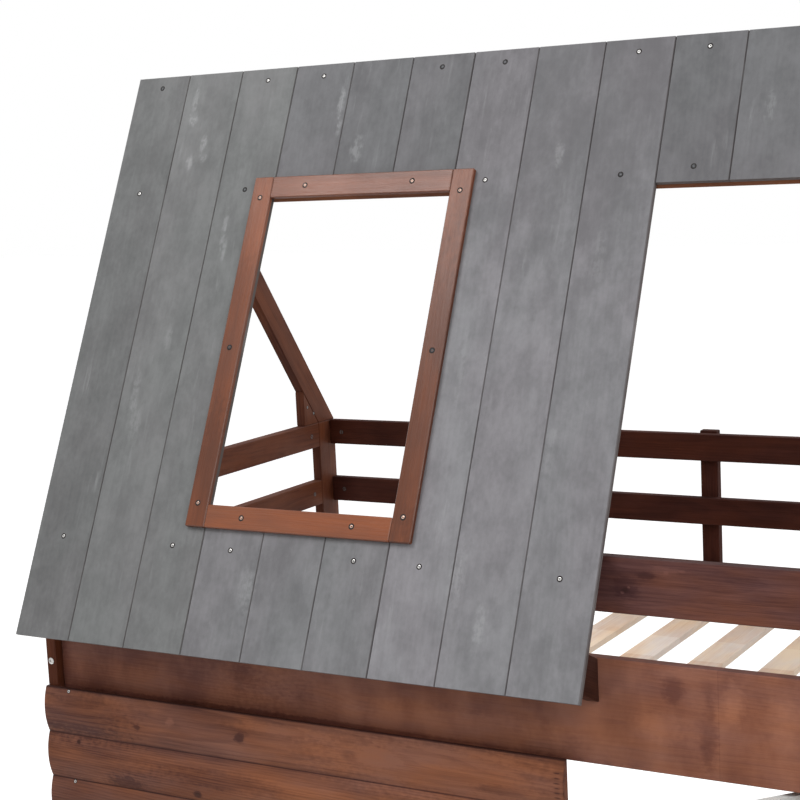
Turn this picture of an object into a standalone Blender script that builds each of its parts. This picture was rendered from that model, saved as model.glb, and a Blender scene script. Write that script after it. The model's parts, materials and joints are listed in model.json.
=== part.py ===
"""House bunk bed: two bunks in one frame, a plank roof with a window, log siding, a door and a ladder.

Lengths are in metres. X runs along the bed from its left end, Y from the front posts to the back,
Z up from the floor. The finished bed is moved so that the middle of its footprint is the origin.
"""
import math

import bmesh
import bpy
from mathutils import Matrix, Vector

# Overall sizes
bed_length = 1.989
bed_depth = 1.065
seat_gap = 0.0003
eased_edge = 0.0015

# End frames
end_board = 0.0235
post_width = 0.071
front_post_height = 1.2392
rear_post_rise = 0.0848
roof_angle = math.radians(64.9)
back_angle = math.radians(54.1)
gusset_length = 0.061
peak_cut = 0.0478

# Rails of the upper bunk
rail_board = 0.022
rail_setback = 0.019
upper_rail_drop = 0.2992
front_rail_height = 0.183
rear_rail_height = 0.096
guard_height = 0.0590
guard_spacing = 0.1420
guard_post_width = 0.039
guard_post_board = 0.0217
guard_post_rise = 0.005
front_guard_drop = 0.0444
front_guard_height = 0.0943
front_guard_post_inset = 0.011

# Ledges and slats
ledge_width = 0.022
ledge_height = 0.018
slat_width = 0.062
slat_thickness = 0.012
slat_count = 14
first_slat_setback = 0.0065
last_slat_setback = 0.0639
slat_end_gap = 0.004
tape_width = 0.025
tape_thickness = 0.0015
tape_bite = 0.0005
tape_inset = 0.110

# Lower bunk
lower_rail_bottom = 0.115
lower_rail_height = 0.135

# Roof
roof_board = 0.010
roof_left_edge = 0.0045
roof_right_edge_inset = 0.0015
eave_overhang = 0.1847
header_length_share = 0.2362
groove_width = 0.003
groove_depth = 0.0025
panel_joint = 0.0006
boards_per_panel = 3
full_panels_boards = 9
header_boards = 6
purlin_thickness = 0.018
purlin_width = 0.060
ridge_beam_drop = 0.015
lower_purlin_rise = 0.0143

# Window
window_left_lap = 0.0401
window_right_lap = 0.0453
window_bottom_share = 0.2013
window_head_lap = 0.0375
window_member = 0.0430
window_thickness = 0.010
window_board_lap = 0.0360

# Log siding
logs_per_board = 2
siding_boards = 5
siding_door_gap = 0.0051
siding_rise = 0.0095
siding_floor_gap = 0.0295
log_edge_thickness = 0.008
log_bulge = 0.010
log_segments = 12
stud_width = 0.040
stud_inset = 0.024

# Door
door_post_width = 0.040
door_axis_inset = 0.4689
door_setback = 0.0011
door_axis_forward = 0.0045
door_edge_gap = 0.001
door_width = 0.386
door_thickness = 0.015
door_plank_count = 4
door_top_gap = 0.0095
door_sill_gap = 0.012
door_open_angle = math.radians(49.9)
batten_height = 0.060
batten_thickness = 0.012
batten_side_gap = 0.022
batten_edge_distance = 0.090
batten_bite = 0.001
knob_inset = 0.032
knob_height = 0.590
knob_radius = 0.014
knob_neck_radius = 0.006
knob_length = 0.026
knob_segments = 20

# Hinges
hinge_height = 0.064
hinge_plate_width = 0.026
hinge_plate = 0.0015
hinge_barrel_radius = 0.0040
hinge_pin_radius = 0.0020
hinge_pin_clearance = 0.0003
hinge_knuckle_share = 0.40
hinge_segments = 16
hinge_inset = 0.165
bore_overrun = 0.002

# Ladder
ladder_side_gap = 0.029
ladder_width = 0.358
ladder_board = 0.022
ladder_foot_reach = 0.300
ladder_foot_width = 0.062
ladder_top_rise = 0.160
ladder_bearing_rise = 0.090
rung_count = 4
rung_top_drop = 0.020
rung_board = 0.022
rung_edge_inset = 0.003

# Finishes: base colour, roughness, metallic value
finishes = {
    "walnut_stain": ((0.205, 0.092, 0.060, 1.0), 0.42, 0.0),
    "gray_wash": ((0.212, 0.216, 0.222, 1.0), 0.62, 0.0),
    "light_gray_wash": ((0.400, 0.395, 0.400, 1.0), 0.60, 0.0),
    "bare_pine": ((0.640, 0.480, 0.330, 1.0), 0.60, 0.0),
    "zinc_steel": ((0.600, 0.600, 0.610, 1.0), 0.35, 1.0),
}

# Faces and heights that follow from the sizes above
inner_left = end_board + seat_gap
inner_right = bed_length - end_board - seat_gap
post_inner_front = post_width + seat_gap
post_inner_rear = bed_depth - post_width - seat_gap
front_rail_face = rail_setback
front_rail_back = rail_setback + rail_board
guard_face = front_rail_back + seat_gap
rear_rail_face = bed_depth - rail_board - (end_board - rail_board)
rear_rail_back = rear_rail_face + rail_board
guard_top = front_post_height + rear_post_rise
upper_rail_bottom = front_post_height - upper_rail_drop
front_guard_bottom = front_post_height - front_guard_drop
roof_stack = roof_board + seat_gap
eave_y = -(eave_overhang * math.cos(roof_angle) + roof_stack * math.sin(roof_angle))
eave_z = front_post_height - eave_overhang * math.sin(roof_angle) + roof_stack * math.cos(roof_angle)
apex_y = ((rear_post_rise + bed_depth * math.tan(back_angle))
          / (math.tan(roof_angle) + math.tan(back_angle)))
peak_z = front_post_height + apex_y * math.tan(roof_angle) - peak_cut
roof_slope_length = (peak_z + roof_board * math.cos(roof_angle) - eave_z) / math.sin(roof_angle)
header_bottom = roof_slope_length * (1.0 - header_length_share)
roof_board_width = ((bed_length - roof_left_edge - roof_right_edge_inset)
                    / (full_panels_boards + header_boards))
panel_edge = roof_left_edge + full_panels_boards * roof_board_width
window_left = roof_left_edge + boards_per_panel * roof_board_width - window_left_lap
window_right = roof_left_edge + 2 * boards_per_panel * roof_board_width + window_right_lap
window_bottom = roof_slope_length * window_bottom_share
window_top = header_bottom + window_head_lap
slat_pitch = ((bed_length - 2 * end_board - first_slat_setback - last_slat_setback - slat_width)
              / (slat_count - 1))
ladder_right = bed_length - ladder_side_gap
ladder_left = ladder_right - ladder_width
front_guard_end = ladder_left + front_guard_post_inset
door_axis_x = bed_length - door_axis_inset
siding_right = door_axis_x - door_edge_gap - door_width - siding_door_gap
siding_top = upper_rail_bottom + siding_rise
log_height = (siding_top - siding_floor_gap) / (logs_per_board * siding_boards)
rung_rise = (upper_rail_bottom - rung_top_drop) / rung_count
under_rail = upper_rail_bottom - seat_gap
lower_rail_top = lower_rail_bottom + lower_rail_height
door_face = front_rail_back + door_setback
door_bottom = lower_rail_top + door_sill_gap
door_top = upper_rail_bottom - door_top_gap


def clear_scene():
    """Remove every object that the file starts with."""
    for item in list(bpy.data.objects):
        bpy.data.objects.remove(item, do_unlink=True)


def finish(slot):
    """Principled material for one finish, made once."""
    found = bpy.data.materials.get(slot)
    if found:
        return found
    colour, roughness, metallic = finishes[slot]
    material = bpy.data.materials.new(slot)
    material.use_nodes = True
    shader = material.node_tree.nodes["Principled BSDF"]
    shader.inputs["Base Color"].default_value = colour
    shader.inputs["Roughness"].default_value = roughness
    shader.inputs["Metallic"].default_value = metallic
    material.diffuse_color = colour
    return material


def place(name, shape, slot, eased=True):
    """Turn a bmesh into a named object with its finish and, for boards, an eased edge."""
    bmesh.ops.recalc_face_normals(shape, faces=shape.faces)
    mesh = bpy.data.meshes.new(name)
    shape.to_mesh(mesh)
    shape.free()
    piece = bpy.data.objects.new(name, mesh)
    bpy.context.scene.collection.objects.link(piece)
    material = finish(slot).copy()
    material.name = name + "_" + slot
    piece.data.materials.append(material)
    if eased:
        bevel = piece.modifiers.new("eased_edge", "BEVEL")
        bevel.width = eased_edge
        bevel.segments = 1
        bevel.limit_method = "ANGLE"
        bevel.angle_limit = math.radians(30.0)
    return piece


def extrude_outline(shape, outline, axis, start, end):
    """Add a prism to shape: an outline in the plane across axis, carried from start to end."""
    along = {"x": lambda a, b, t: (t, a, b), "y": lambda a, b, t: (a, t, b), "z": lambda a, b, t: (a, b, t)}[axis]
    face = shape.faces.new([shape.verts.new(along(a, b, start)) for a, b in outline])
    grown = bmesh.ops.extrude_face_region(shape, geom=[face])
    moved = [item for item in grown["geom"] if isinstance(item, bmesh.types.BMVert)]
    bmesh.ops.translate(shape, verts=moved, vec=Vector(along(0.0, 0.0, end - start)))


def prism(name, outline, axis, start, end, slot, eased=True):
    """One piece made of an extruded outline."""
    shape = bmesh.new()
    extrude_outline(shape, outline, axis, start, end)
    return place(name, shape, slot, eased)


def rectangle(low_a, high_a, low_b, high_b):
    """Outline of a rectangle."""
    return [(low_a, low_b), (high_a, low_b), (high_a, high_b), (low_a, high_b)]


def board(name, x_span, y_span, z_span, slot="walnut_stain"):
    """A straight board given by its three spans."""
    return prism(name, rectangle(*y_span, *z_span), "x", *x_span, slot)


def combine(base, other, operation):
    """Boolean of two objects, kept as a modifier on base; other becomes a hidden tool."""
    tool = base.modifiers.new(other.name, "BOOLEAN")
    tool.operation = operation
    tool.object = other
    tool.solver = "EXACT"
    other.hide_render = True
    other.hide_viewport = False
    other.display_type = "WIRE"


def roof_point(along, below):
    """Place in YZ of a point on the roof: along the slope from the eave, and below its top face."""
    return (eave_y + along * math.cos(roof_angle) + below * math.sin(roof_angle),
            eave_z + along * math.sin(roof_angle) - below * math.cos(roof_angle))


def roof_outline(low, high, top, bottom):
    """Section in YZ of a piece that lies in the roof's slope."""
    return [roof_point(low, top), roof_point(high, top), roof_point(high, bottom), roof_point(low, bottom)]


def front_rafter_edge(z):
    """Y of the front rafter's upper edge at height z."""
    return (z - front_post_height) / math.tan(roof_angle)


def rear_rafter_edge(z):
    """Y of the rear rafter's upper edge at height z."""
    return bed_depth - (z - guard_top) / math.tan(back_angle)


def end_frame(side, x_low, x_high):
    """Posts, rafters, gusset and rails of one end, all in the plane of the end boards."""
    span = (x_low, x_high)
    peak = peak_z
    seam = (front_rafter_edge(peak) + rear_rafter_edge(peak)) / 2
    front_foot = front_post_height + seat_gap
    rear_foot = guard_top + seat_gap
    front_low = front_post_height + (seam - post_width) * math.tan(roof_angle)
    rear_low = guard_top + (bed_depth - post_width - seam) * math.tan(back_angle)
    board(side + "_front_post", span, (0.0, post_width), (0.0, front_post_height))
    board(side + "_rear_post", span, (bed_depth - post_width, bed_depth), (0.0, guard_top))
    front_rafter = [
        (front_rafter_edge(front_foot), front_foot),
        (front_rafter_edge(front_foot) + post_width, front_foot),
        (seam - seat_gap, front_low),
        (seam - seat_gap, peak),
        (front_rafter_edge(peak), peak)]
    prism(side + "_front_rafter", front_rafter, "x", *span, "walnut_stain")
    rear_rafter = [
        (rear_rafter_edge(rear_foot), rear_foot),
        (rear_rafter_edge(peak), peak),
        (seam + seat_gap, peak),
        (seam + seat_gap, rear_low),
        (rear_rafter_edge(rear_foot) - post_width, rear_foot)]
    prism(side + "_rear_rafter", rear_rafter, "x", *span, "walnut_stain")
    gusset_front = post_inner_rear - gusset_length
    gusset_rise = gusset_length * math.tan(back_angle) - seat_gap
    gusset = [
        (gusset_front, guard_top + seat_gap),
        (post_inner_rear - seat_gap, guard_top + seat_gap),
        (gusset_front, guard_top + gusset_rise)]
    prism(side + "_rear_gusset", gusset, "x", *span, "walnut_stain")
    rafter_gap = seat_gap / math.sin(roof_angle)
    top_rail = [
        (max(0.0, front_rafter_edge(guard_top - guard_height)) + post_width + rafter_gap, guard_top - guard_height),
        (post_inner_rear, guard_top - guard_height),
        (post_inner_rear, guard_top),
        (max(0.0, front_rafter_edge(guard_top)) + post_width + rafter_gap, guard_top)]
    prism(side + "_end_top_rail", top_rail, "x", *span, "walnut_stain")
    between_posts = (post_inner_front, post_inner_rear)
    mid_top = guard_top - guard_spacing
    board(side + "_end_mid_rail", span, between_posts, (mid_top - guard_height, mid_top))
    board(side + "_end_bed_rail", span, between_posts, (upper_rail_bottom, upper_rail_bottom + rear_rail_height))
    board(side + "_end_lower_rail", span, between_posts, (lower_rail_bottom, lower_rail_top))


def ledged_rail(name, face, back, bottom, height, ledge_side):
    """A long rail with a ledge along its lower inner edge; ledge_side is +1 towards the back."""
    inner, outer = (back, face) if ledge_side > 0 else (face, back)
    ledge = inner + ledge_side * ledge_width
    section = [
        (outer, bottom),
        (ledge, bottom),
        (ledge, bottom + ledge_height),
        (inner, bottom + ledge_height),
        (inner, bottom + height),
        (outer, bottom + height)]
    prism(name, section, "x", inner_left, inner_right, "walnut_stain")


def slat_base(name, front, rear, ledge_top):
    """Slats on two webbing tapes that hold them a pitch apart."""
    bottom = ledge_top + seat_gap
    slats = bmesh.new()
    for index in range(slat_count):
        left = end_board + first_slat_setback + index * slat_pitch
        section = rectangle(left, left + slat_width, bottom, bottom + slat_thickness)
        extrude_outline(slats, section, "y", front + slat_end_gap, rear - slat_end_gap)
    piece = place(name, slats, "bare_pine", eased=False)
    tapes = bmesh.new()
    first = end_board + first_slat_setback + slat_width / 2
    last = first + (slat_count - 1) * slat_pitch
    section = rectangle(first, last, bottom + tape_bite - tape_thickness, bottom + tape_bite)
    for start in (front + tape_inset, rear - tape_inset - tape_width):
        extrude_outline(tapes, section, "y", start, start + tape_width)
    combine(piece, place(name + "_tapes", tapes, "bare_pine", eased=False), "UNION")


def upper_bunk():
    """Rails, guards and slats of the upper bunk."""
    ledged_rail("upper_front_rail", front_rail_face, front_rail_back, upper_rail_bottom, front_rail_height, 1)
    ledged_rail("upper_rear_rail", rear_rail_face, rear_rail_back, upper_rail_bottom, rear_rail_height, -1)
    slat_base("upper_slat_base", front_rail_back, rear_rail_face, upper_rail_bottom + ledge_height)
    full = (inner_left, inner_right)
    rear_span = (rear_rail_face, rear_rail_back)
    mid_top = guard_top - guard_spacing
    board("rear_guard_top_rail", full, rear_span, (guard_top - guard_height, guard_top))
    board("rear_guard_mid_rail", full, rear_span, (mid_top - guard_height, mid_top))
    middle = bed_length / 2
    behind = rear_rail_back + seat_gap
    board("rear_guard_post", (middle - guard_post_width / 2, middle + guard_post_width / 2),
          (behind, behind + guard_post_board), (upper_rail_bottom, guard_top + guard_post_rise))
    board("front_guard_rail", (inner_left, front_guard_end), (guard_face, guard_face + rail_board),
          (front_guard_bottom, front_guard_bottom + front_guard_height))
    post_right = front_guard_end - front_guard_post_inset
    board("front_guard_post", (post_right - guard_post_width, post_right),
          (front_rail_face, front_rail_back),
          (upper_rail_bottom + front_rail_height + seat_gap,
           front_guard_bottom + front_guard_height + guard_post_rise))


def lower_bunk():
    """Rails and slats of the lower bunk; its front rail stands behind the siding and the door."""
    face = front_rail_back + seat_gap
    ledged_rail("lower_front_rail", face, face + rail_board, lower_rail_bottom, lower_rail_height, 1)
    ledged_rail("lower_rear_rail", rear_rail_face, rear_rail_back, lower_rail_bottom, lower_rail_height, -1)
    slat_base("lower_slat_base", face + rail_board, rear_rail_face, lower_rail_bottom + ledge_height)


def panel_profile(first_board, board_count):
    """Section of a glued panel across its boards, with V grooves on its top face at each joint."""
    left = roof_left_edge + first_board * roof_board_width + panel_joint / 2
    right = roof_left_edge + (first_board + board_count) * roof_board_width - panel_joint / 2
    half = groove_width / 2
    profile = [(left, roof_board), (left, groove_depth), (left + half, 0.0)]
    for joint in range(1, board_count):
        middle = roof_left_edge + (first_board + joint) * roof_board_width
        profile += [(middle - half, 0.0), (middle, groove_depth), (middle + half, 0.0)]
    profile += [(right - half, 0.0), (right, groove_depth), (right, roof_board)]
    return profile


def roof_panel(name, first_board, board_count, low, high):
    """A panel of boards lying in the slope between two distances from the eave."""
    shape = bmesh.new()
    ends = []
    for along in (low, high):
        corners = [(x, *roof_point(along, below)) for x, below in panel_profile(first_board, board_count)]
        ends.append([shape.verts.new(corner) for corner in corners])
    for lower, upper in zip(ends[0], ends[1]):
        follow = ends[0].index(lower) - 1
        shape.faces.new([ends[0][follow], lower, upper, ends[1][follow]])
    shape.faces.new(ends[0])
    shape.faces.new(list(reversed(ends[1])))
    place(name, shape, "gray_wash", eased=False)


def roof():
    """Ridge beam, purlins and the plank panels that they carry."""
    under = roof_stack
    bottom = under + purlin_thickness
    ridge_high = roof_slope_length - ridge_beam_drop
    ridge = roof_outline(ridge_high - purlin_width, ridge_high, under, bottom)
    prism("ridge_beam", ridge, "x", inner_left, inner_right, "walnut_stain")
    upper = roof_outline(header_bottom, header_bottom + purlin_width, under, bottom)
    prism("upper_purlin", upper, "x", inner_left, inner_right, "walnut_stain")
    lower_low = eave_overhang + lower_purlin_rise - purlin_width / 2
    lower = roof_outline(lower_low, lower_low + purlin_width, under, bottom)
    prism("lower_purlin", lower, "x", inner_left, panel_edge - ledge_width, "walnut_stain")
    three = boards_per_panel
    roof_panel("roof_panel_left", 0, three, 0.0, roof_slope_length)
    roof_panel("roof_panel_under_window", three, three, 0.0,
               window_bottom + window_board_lap)
    roof_panel("roof_panel_over_window", three, three, window_top - window_board_lap,
               roof_slope_length)
    roof_panel("roof_panel_middle", 2 * three, three, 0.0, roof_slope_length)
    roof_panel("roof_header_panel", full_panels_boards, header_boards, header_bottom, roof_slope_length)


def window_frame():
    """Two stiles with the rails butted between them, on the roof's top face."""
    top = -seat_gap - window_thickness
    bottom = -seat_gap
    stile = roof_outline(window_bottom, window_top, top, bottom)
    left_inner = window_left + window_member
    right_inner = window_right - window_member
    prism("window_left_stile", stile, "x", window_left, left_inner, "walnut_stain")
    prism("window_right_stile", stile, "x", right_inner, window_right, "walnut_stain")
    head = roof_outline(window_top - window_member, window_top, top, bottom)
    sill = roof_outline(window_bottom, window_bottom + window_member, top, bottom)
    prism("window_top_rail", head, "x", left_inner + seat_gap, right_inner - seat_gap, "walnut_stain")
    prism("window_bottom_rail", sill, "x", left_inner + seat_gap, right_inner - seat_gap, "walnut_stain")


def log_outline(top):
    """Section of a siding board: a flat back and one round face for each log milled on it."""
    bottom = top - logs_per_board * log_height + seat_gap
    face = -seat_gap - log_edge_thickness
    outline = [(-seat_gap, bottom), (-seat_gap, top), (face, top)]
    tall = (top - bottom) / logs_per_board
    for log in range(logs_per_board):
        for step in range(1, log_segments + 1):
            share = step / log_segments
            bulge = log_bulge * (1.0 - (2.0 * share - 1.0) ** 2)
            outline.append((face - bulge, top - (log + share) * tall))
    return outline


def siding():
    """Boards of log siding on the front of the left post, and the stud behind their right ends."""
    for index in range(siding_boards):
        top = siding_top - index * logs_per_board * log_height
        name = "siding_board_" + str(index + 1)
        prism(name, log_outline(top), "x", 0.0, siding_right, "walnut_stain", eased=False)
    right = siding_right - stud_inset
    board("siding_stud", (right - stud_width, right), (0.0, front_rail_back), (0.0, under_rail))


def hinge_leaf(name, axis, side, low, knuckles, pin, parent=None):
    """A plate with its knuckles around the hinge axis; side is +1 where the plate points to +X.

    knuckles are the spans of height that this leaf holds. The pin belongs to the leaf that has one,
    and the other leaf is bored for it.
    """
    plate_back = door_axis_forward - seat_gap
    plate = bmesh.new()
    near = side * hinge_pin_radius
    far = side * (hinge_barrel_radius + hinge_plate_width)
    outline = rectangle(min(near, far), max(near, far), plate_back - hinge_plate, plate_back)
    if pin:
        extrude_outline(plate, outline, "z", low, low + hinge_height)
        cut_low, cut_high = knuckles[0][1], knuckles[1][0]
    else:
        extrude_outline(plate, outline, "z", knuckles[0][0], knuckles[0][1])
    barrel = bmesh.new()
    for bottom, top in knuckles:
        add_cylinder(barrel, hinge_barrel_radius, bottom, top)
    piece = place(name, plate, "zinc_steel", eased=False)
    barrels = place(name + "_barrel", barrel, "zinc_steel", eased=False)
    combine(piece, barrels, "UNION")
    tools = [piece, barrels]
    if pin:
        relief = bmesh.new()
        reach = hinge_barrel_radius + hinge_pin_clearance
        add_cylinder(relief, reach, cut_low - hinge_pin_clearance, cut_high + hinge_pin_clearance)
        tools.append(place(name + "_relief", relief, "zinc_steel", eased=False))
        combine(piece, tools[-1], "DIFFERENCE")
        rod = bmesh.new()
        add_cylinder(rod, hinge_pin_radius, low + hinge_pin_clearance, low + hinge_height - hinge_pin_clearance)
        tools.append(place(name + "_pin", rod, "zinc_steel", eased=False))
        combine(piece, tools[-1], "UNION")
    else:
        bore = bmesh.new()
        bottom, top = knuckles[0]
        add_cylinder(bore, hinge_pin_radius + hinge_pin_clearance, bottom - bore_overrun, top + bore_overrun)
        tools.append(place(name + "_bore", bore, "zinc_steel", eased=False))
        combine(piece, tools[-1], "DIFFERENCE")
    for tool in tools:
        if parent:
            tool.parent = parent
        else:
            tool.location = axis
    return piece


def add_cylinder(shape, radius, bottom, top):
    """Add a closed upright cylinder around the local Z axis."""
    middle = Matrix.Translation((0.0, 0.0, (bottom + top) / 2))
    bmesh.ops.create_cone(shape, cap_ends=True, cap_tris=False, segments=hinge_segments,
                          radius1=radius, radius2=radius, depth=top - bottom, matrix=middle)


def door_axis_place():
    """Point of the door's hinge axis at floor height."""
    return Vector((door_axis_x, door_face - door_axis_forward, 0.0))


def door_leaf(parent):
    """Planks of the door with V joints on both faces, and two battens across their back."""
    outer = door_axis_forward
    inner = outer + door_thickness
    right = -door_edge_gap
    left = right - door_width
    half = groove_width / 2
    front_side = [(left, outer)]
    back_side = [(left, inner)]
    for joint in range(1, door_plank_count):
        middle = left + joint * door_width / door_plank_count
        front_side += [(middle - half, outer), (middle, outer + groove_depth), (middle + half, outer)]
        back_side += [(middle - half, inner), (middle, inner - groove_depth), (middle + half, inner)]
    outline = front_side + [(right, outer), (right, inner)] + list(reversed(back_side))
    leaf = prism("door_leaf", outline, "z", door_bottom, door_top, "light_gray_wash", eased=False)
    leaf.parent = parent
    battens = bmesh.new()
    section = rectangle(left + batten_side_gap, right - batten_side_gap, inner - groove_depth - batten_bite,
                        inner + batten_thickness)
    lower_start = door_bottom + batten_edge_distance
    upper_start = door_top - batten_edge_distance - batten_height
    for start in (lower_start, upper_start):
        extrude_outline(battens, section, "z", start, start + batten_height)
    tool = place("door_battens", battens, "light_gray_wash", eased=False)
    tool.parent = parent
    combine(leaf, tool, "UNION")


def door_knob(parent):
    """Turned knob on the door's outer face, its axis along the leaf's normal."""
    waist_share = 0.35
    steps = 8
    base = door_axis_forward - seat_gap
    profile = [(0.0, 0.0), (knob_neck_radius, 0.0), (knob_neck_radius, knob_length * waist_share)]
    for step in range(1, steps):
        turn = math.pi * step / steps
        swell = knob_neck_radius * (1.0 - step / steps) + (knob_radius - knob_neck_radius / 2) * math.sin(turn)
        profile.append((swell, knob_length * (waist_share + (1.0 - waist_share) * step / steps)))
    profile.append((0.0, knob_length))
    shape = bmesh.new()
    verts = [shape.verts.new((radius, -height, 0.0)) for radius, height in profile]
    edges = [shape.edges.new(pair) for pair in zip(verts, verts[1:])]
    bmesh.ops.spin(shape, geom=verts + edges, cent=(0.0, 0.0, 0.0), axis=(0.0, 1.0, 0.0),
                   angle=math.tau, steps=knob_segments, use_merge=True)
    bmesh.ops.remove_doubles(shape, verts=shape.verts, dist=seat_gap / 10)
    centre = Vector((-door_edge_gap - door_width + knob_inset, base, knob_height))
    bmesh.ops.translate(shape, verts=shape.verts, vec=centre)
    knob = place("door_knob", shape, "zinc_steel", eased=False)
    knob.data.shade_smooth()
    knob.data.set_sharp_from_angle(angle=math.radians(35.0))
    knob.parent = parent


def door():
    """Door post between the bunks' front rails, leaf, knob and two butt hinges.

    The leaf closes behind the upper front rail and over the lower one, and is turned open about its axis.
    """
    axis = door_axis_place()
    post_left = door_axis_x + door_edge_gap
    post_back = front_rail_back + seat_gap + rail_board
    board("door_post", (post_left, post_left + door_post_width), (door_face, post_back),
          (lower_rail_top + seat_gap, under_rail), "light_gray_wash")
    pivot = bpy.data.objects.new("door_pivot", None)
    bpy.context.scene.collection.objects.link(pivot)
    pivot.location = axis
    pivot.rotation_euler = (0.0, 0.0, door_open_angle)
    door_leaf(pivot)
    door_knob(pivot)
    end_share = (1.0 - hinge_knuckle_share) / 2
    lows = {"lower": door_bottom + hinge_inset, "upper": door_top - hinge_inset - hinge_height}
    for name, low in lows.items():
        split_low = low + end_share * hinge_height
        split_high = low + (1.0 - end_share) * hinge_height
        outer = [(low, split_low), (split_high, low + hinge_height)]
        middle = [(split_low + seat_gap, split_high - seat_gap)]
        hinge_leaf("door_hinge_" + name + "_post_leaf", axis, 1, low, outer, True)
        hinge_leaf("door_hinge_" + name + "_door_leaf", axis, -1, low, middle, False, pivot)


def ladder():
    """Two leaning stringers that bear on the front rail, with treads let in between them."""
    rail_face = front_rail_face - seat_gap
    back_foot = ladder_foot_width - ladder_foot_reach
    bearing_bottom = upper_rail_bottom + ladder_bearing_rise
    ladder_top = upper_rail_bottom + ladder_top_rise
    lean = (rail_face - back_foot) / bearing_bottom
    front_top = ladder_top * lean - ladder_foot_reach
    stringer = [
        (-ladder_foot_reach, 0.0),
        (back_foot, 0.0),
        (rail_face, bearing_bottom),
        (rail_face, ladder_top),
        (front_top, ladder_top)]
    prism("ladder_left_stringer", stringer, "x", ladder_left, ladder_left + ladder_board, "walnut_stain")
    prism("ladder_right_stringer", stringer, "x", ladder_right - ladder_board, ladder_right, "walnut_stain")
    span = (ladder_left + ladder_board + seat_gap, ladder_right - ladder_board - seat_gap)
    for index in range(rung_count):
        top = (index + 1) * rung_rise
        front = top * lean - ladder_foot_reach + rung_edge_inset
        back = (top - rung_board) * lean + back_foot - rung_edge_inset
        board("ladder_rung_" + str(index + 1), span, (front, back), (top - rung_board, top))


def centre_on_floor():
    """Move the whole bed so that the middle of its footprint is the origin."""
    bpy.context.view_layer.update()
    graph = bpy.context.evaluated_depsgraph_get()
    low = Vector((math.inf, math.inf, 0.0))
    high = Vector((-math.inf, -math.inf, 0.0))
    for piece in bpy.data.objects:
        if piece.type != "MESH" or piece.hide_render:
            continue
        for vertex in piece.evaluated_get(graph).data.vertices:
            corner = piece.matrix_world @ vertex.co
            for axis in (0, 1):
                low[axis] = min(low[axis], corner[axis])
                high[axis] = max(high[axis], corner[axis])
    shift = (low + high) / -2
    for piece in bpy.data.objects:
        if piece.parent is None:
            piece.location += shift
    bpy.context.view_layer.update()
    hinge = door_axis_place() + shift
    print("middle of the footprint moved by", tuple(round(value, 6) for value in shift))
    print("door hinge axis at", tuple(round(value, 6) for value in hinge))


def build():
    """Model the bed from its driving dimensions."""
    clear_scene()
    end_frame("left", 0.0, end_board)
    end_frame("right", bed_length - end_board, bed_length)
    upper_bunk()
    lower_bunk()
    roof()
    window_frame()
    siding()
    door()
    ladder()
    centre_on_floor()


build()
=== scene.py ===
"""Looks of the house bunk bed: stained boards, gray roof, log siding, fixings, light and camera."""
import json
import math

import bmesh
import bpy
import numpy as np
from mathutils import Matrix, Vector


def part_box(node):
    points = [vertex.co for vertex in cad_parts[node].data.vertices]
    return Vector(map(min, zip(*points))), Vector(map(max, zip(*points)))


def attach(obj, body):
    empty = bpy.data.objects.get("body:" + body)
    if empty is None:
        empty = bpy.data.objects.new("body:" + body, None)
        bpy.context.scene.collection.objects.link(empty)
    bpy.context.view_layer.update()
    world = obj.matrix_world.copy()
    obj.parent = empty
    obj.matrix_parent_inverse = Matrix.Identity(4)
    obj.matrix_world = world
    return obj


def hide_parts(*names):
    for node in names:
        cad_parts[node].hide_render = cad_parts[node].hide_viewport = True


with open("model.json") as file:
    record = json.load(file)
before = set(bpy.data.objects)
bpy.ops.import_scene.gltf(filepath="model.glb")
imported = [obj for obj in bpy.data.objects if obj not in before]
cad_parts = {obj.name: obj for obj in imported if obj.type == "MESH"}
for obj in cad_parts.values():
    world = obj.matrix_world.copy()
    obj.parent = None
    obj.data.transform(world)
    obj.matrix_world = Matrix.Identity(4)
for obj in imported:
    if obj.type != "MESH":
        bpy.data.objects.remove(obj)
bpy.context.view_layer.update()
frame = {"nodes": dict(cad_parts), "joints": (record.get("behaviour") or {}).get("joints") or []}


# Sizes in metres, measured from the bed's own corner: the outer front foot of its left end.
# Pieces that touch keep the gap named touching between them.
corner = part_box("left_front_post")[0]


def extent(node):
    """Lowest and highest corner of a CAD node, measured from the bed's corner."""
    low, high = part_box(node)
    return np.subtract(low, corner), np.subtract(high, corner)


touching = 0.0003
roof_angle = math.radians(64.9)
back_angle = math.radians(54.1)
roof_board = 0.010
window_thickness = 0.010
door_rest = math.radians(49.9)
end_board = extent("left_front_post")[1][0]
bed_length = extent("right_front_post")[1][0]
bed_back = extent("left_rear_post")[1][1]
rail_front, upper_rail = extent("upper_front_rail")[0][1:]
rear_rail_front = extent("rear_guard_top_rail")[0][1]
lower_rail = extent("lower_front_rail")[0][2]
guard_top = extent("rear_guard_top_rail")[1][2]
roof_low = extent("roof_panel_left")[0]
eave = (roof_low[1], roof_low[2] + roof_board * math.cos(roof_angle))
roof_left_edge = roof_low[0] - touching
roof_board_count = 15
roof_board_width = (extent("roof_header_panel")[1][0] + touching - roof_left_edge) / roof_board_count
siding_right = extent("siding_board_1")[1][0]
siding_top = extent("siding_board_1")[1][2]
logs_on_board = 2
log_height = (siding_top - extent("siding_board_1")[0][2] + touching) / logs_on_board


def tone(red, green, blue):
    """Linear colour of a screen colour given from 0 to 255."""
    screen = np.array((red, green, blue)) / 255.0
    linear = np.where(screen > 0.04045, ((screen + 0.055) / 1.055) ** 2.4, screen / 12.92)
    return (*[float(value) for value in linear], 1.0)


def scaled(colour, share):
    """Colour made lighter or darker by a share."""
    return tuple(min(1.0, value * share) for value in colour[:3]) + (1.0,)


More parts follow.
